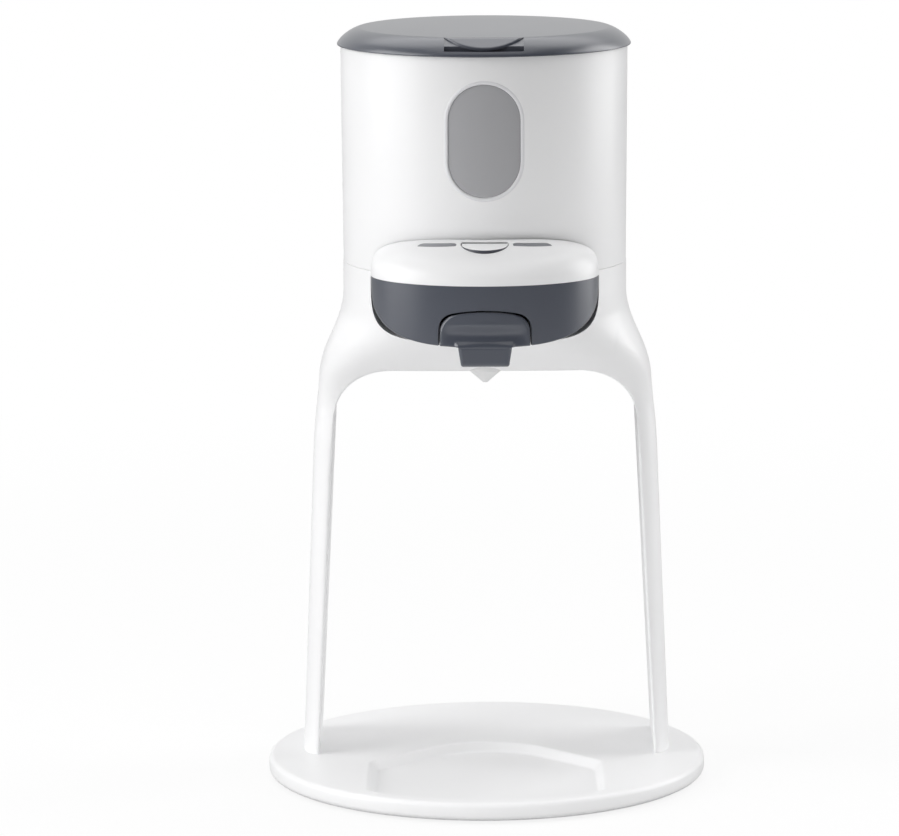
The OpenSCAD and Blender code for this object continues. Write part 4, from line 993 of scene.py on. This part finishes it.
def spots(name, apart=9):
    """The middles, seen from above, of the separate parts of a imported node."""
    groups = []
    for vertex in nodes[name].data.vertices:
        point = np.array(vertex.co[:2]) / MM
        near = [g for g in groups if np.linalg.norm(g[0] - point) < apart]
        if near:
            near[0].append(point)
        else:
            groups.append([point])
    return [(np.min(g, axis=0) + np.max(g, axis=0)) / 2 for g in groups]


screw_steel = metal("screw_steel", (0.62, 0.61, 0.59), 0.26, 900.0)
screw_sizes = ["Head radius", "Head height", "Shank radius", "Length"]
screw_tree, (holes, head_r, head_h, shank_r, length) = parametric("pan_head_screw", screw_sizes)


def frustum(low_r, high_r, low, high):
    sizes = {"Vertices": 40, "Radius Bottom": low_r, "Radius Top": high_r, "Depth": high - low}
    return raised(screw_tree, screw_tree.node("GeometryNodeMeshCone", sizes), low)


rounding = ((0.66, 0), (0.86, 0.12), (0.97, 0.3), (1.0, 0.5), (1.0, 1.0))  # radius and height
head = [frustum(head_r * a, head_r * b, head_h * c, head_h * d)
        for (a, c), (b, d) in zip(rounding, rounding[1:])]
boolean = "GeometryNodeMeshBoolean"
head = screw_tree.node(boolean, {1: joined(screw_tree, *head)}, operation="UNION")
recess = []
for x, y in ((1.2, 0.3), (0.3, 1.2)):
    size = {"X": head_r * x, "Y": head_r * y, "Z": head_h * 1.1}
    size = screw_tree.node("ShaderNodeCombineXYZ", size)
    recess.append(screw_tree.node("GeometryNodeMeshCube", {"Size": size}))
recess = joined(screw_tree, *recess)
head = screw_tree.node(boolean, {0: head, 1: recess}, operation="DIFFERENCE")
core = frustum(shank_r * 0.8, shank_r * 0.8, head_h * 0.9, length - shank_r)
point = frustum(shank_r * 0.8, shank_r * 0.15, length - shank_r, length)
helix = {"Resolution": 24, "Rotations": (length - head_h) / shank_r * 1.4}
helix |= {"Start Radius": shank_r * 0.84, "End Radius": shank_r * 0.84}
helix["Height"] = length - head_h - shank_r * 1.2
helix = screw_tree.node("GeometryNodeCurveSpiral", helix)
helix = raised(screw_tree, helix, head_h + shank_r * 0.1)
thread = swept(screw_tree, helix, 3, shank_r * 0.16)
screw = joined(screw_tree, head, core, point, thread)
screws = screw_tree.node("GeometryNodeInstanceOnPoints", {"Points": holes, "Instance": screw})
delivered(screw_tree, screws, screw_steel)

for name, body, head_up, sizes in (
    ("base_screws", "stand", False, (2.5, 0.8, 1.2)),
    ("leg_screws", "stand", False, (3.0, 1.8, 1.5)),
    ("underside_screws", "stand", False, (2.5, 1.2, 1.25)),
    ("deck_screws", "stand", True, (2.5, 1.2, 1.25)),
    ("key_screw", "stirrer", False, (2.2, 1.1, 1.0)),
    ("cover_screws", "drawer", True, (1.8, 1.2, 1.05)),
):
    low, high = span(name)
    foot = -high.z if head_up else low.z
    points = [(x, -y if head_up else y, foot) for x, y in spots(name)]
    sizes = dict(zip(screw_sizes, (*sizes, high.z - low.z)))
    grown("steel_" + name, points, [], screw_tree, sizes, name, body, head_up)


# ---------------------------------------- springs
# Wound spring wire, blackened. The lever's spring has two legs, one on the bowl and
# one on the lever; the button's spring stands on a post in the bowl.
spring_steel = metal("spring_steel", (0.08, 0.08, 0.085), 0.3, 900.0)
wire_tree, (path, wire_r) = parametric("round_wire", ["Wire radius"])
path = wire_tree.node("GeometryNodeMeshToCurve", {0: path})
delivered(wire_tree, swept(wire_tree, path, 12, wire_r), spring_steel)

turn = np.linspace(0, 10 * math.pi, 181)
coil = np.column_stack([np.linspace(-3.5, 3.5, 181), pin_y - 2.5 * np.cos(turn), pin_z + 2.5 * np.sin(turn)])
legged = [(-3.5, pin_y - 5, pin_z - 12), *coil, (3.5, pin_y - 10, pin_z + 2.4)]
low, high = span("button_spring")
rise = np.linspace(low.z + 0.4, high.z - 0.4, 181)
upright = np.column_stack([2.4 * np.cos(turn), spring_y + 2.4 * np.sin(turn), rise])
for name, path, wire_r in (("lever_spring", legged, 0.5), ("button_spring", upright, 0.4)):
    edges = [(i, i + 1) for i in range(len(path) - 1)]
    grown("wound_" + name, path, edges, wire_tree, {"Wire radius": wire_r}, name, "drawer")


# ---------------------------------------- feet
# Four black rubber feet, each with a rounded tread edge and two grooves under it.
rubber = moulded("black_rubber", (0.03, 0.03, 0.032), 0.65, 900.0, 0.12)
feet_high = span("rubber_feet")[1]
feet = None
for x, y in spots("rubber_feet", 40):
    foot_rim = feet_high.x - abs(x)
    tread = [(0, 0.3), (2.6, 0.3), (3.0, 0), (4.2, 0), (4.6, 0.3), (5.0, 0.3), (5.4, 0)]
    tread += [(foot_rim - 1.2, 0), (foot_rim - 0.5, 0.15), (foot_rim - 0.1, 0.55), (foot_rim, 1.0)]
    tread += [(foot_rim, feet_high.z), (0, feet_high.z)]
    foot = turned("foot", tread, rubber, (x, y), 64)
    if feet:
        combine(feet, foot, "UNION")
    else:
        feet = foot
feet.name = "grooved_feet"
shaded(feet.data, 30)
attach(feet, "stand")
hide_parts("rubber_feet")


# ---------------------------------------- inside
# What stays as it was packed: acetal for what slides or turns, ABS for the fixed
# plates, silicone and rubber for seals, bright steel for pins.
acetal = moulded("natural_acetal", (0.72, 0.72, 0.70), 0.34, 500.0, 0.04)
graphite = moulded("graphite_acetal", (0.05, 0.052, 0.058), 0.4, 500.0, 0.05)
silicone = moulded("clear_silicone", (0.80, 0.80, 0.80), 0.42, 300.0, 0.04, Coat_Weight=0.1)
finishes = {
    white_abs: "head_underside outlet_funnel head_deck canister_floor",
    acetal: "base_cover floor_bush stirrer dosing_plate wheel_cover dosing_wheel",
    graphite: "drive_key drive_rack",
    silicone: "outlet_valve lid_seal",
    rubber: "inlet_gasket leveller",
    screw_steel: "wheel_spindle lever_pin ratchet_pinion",
}
for finish, names in finishes.items():
    for name in names.split():
        nodes[name].data.materials.clear()
        nodes[name].data.materials.append(finish)
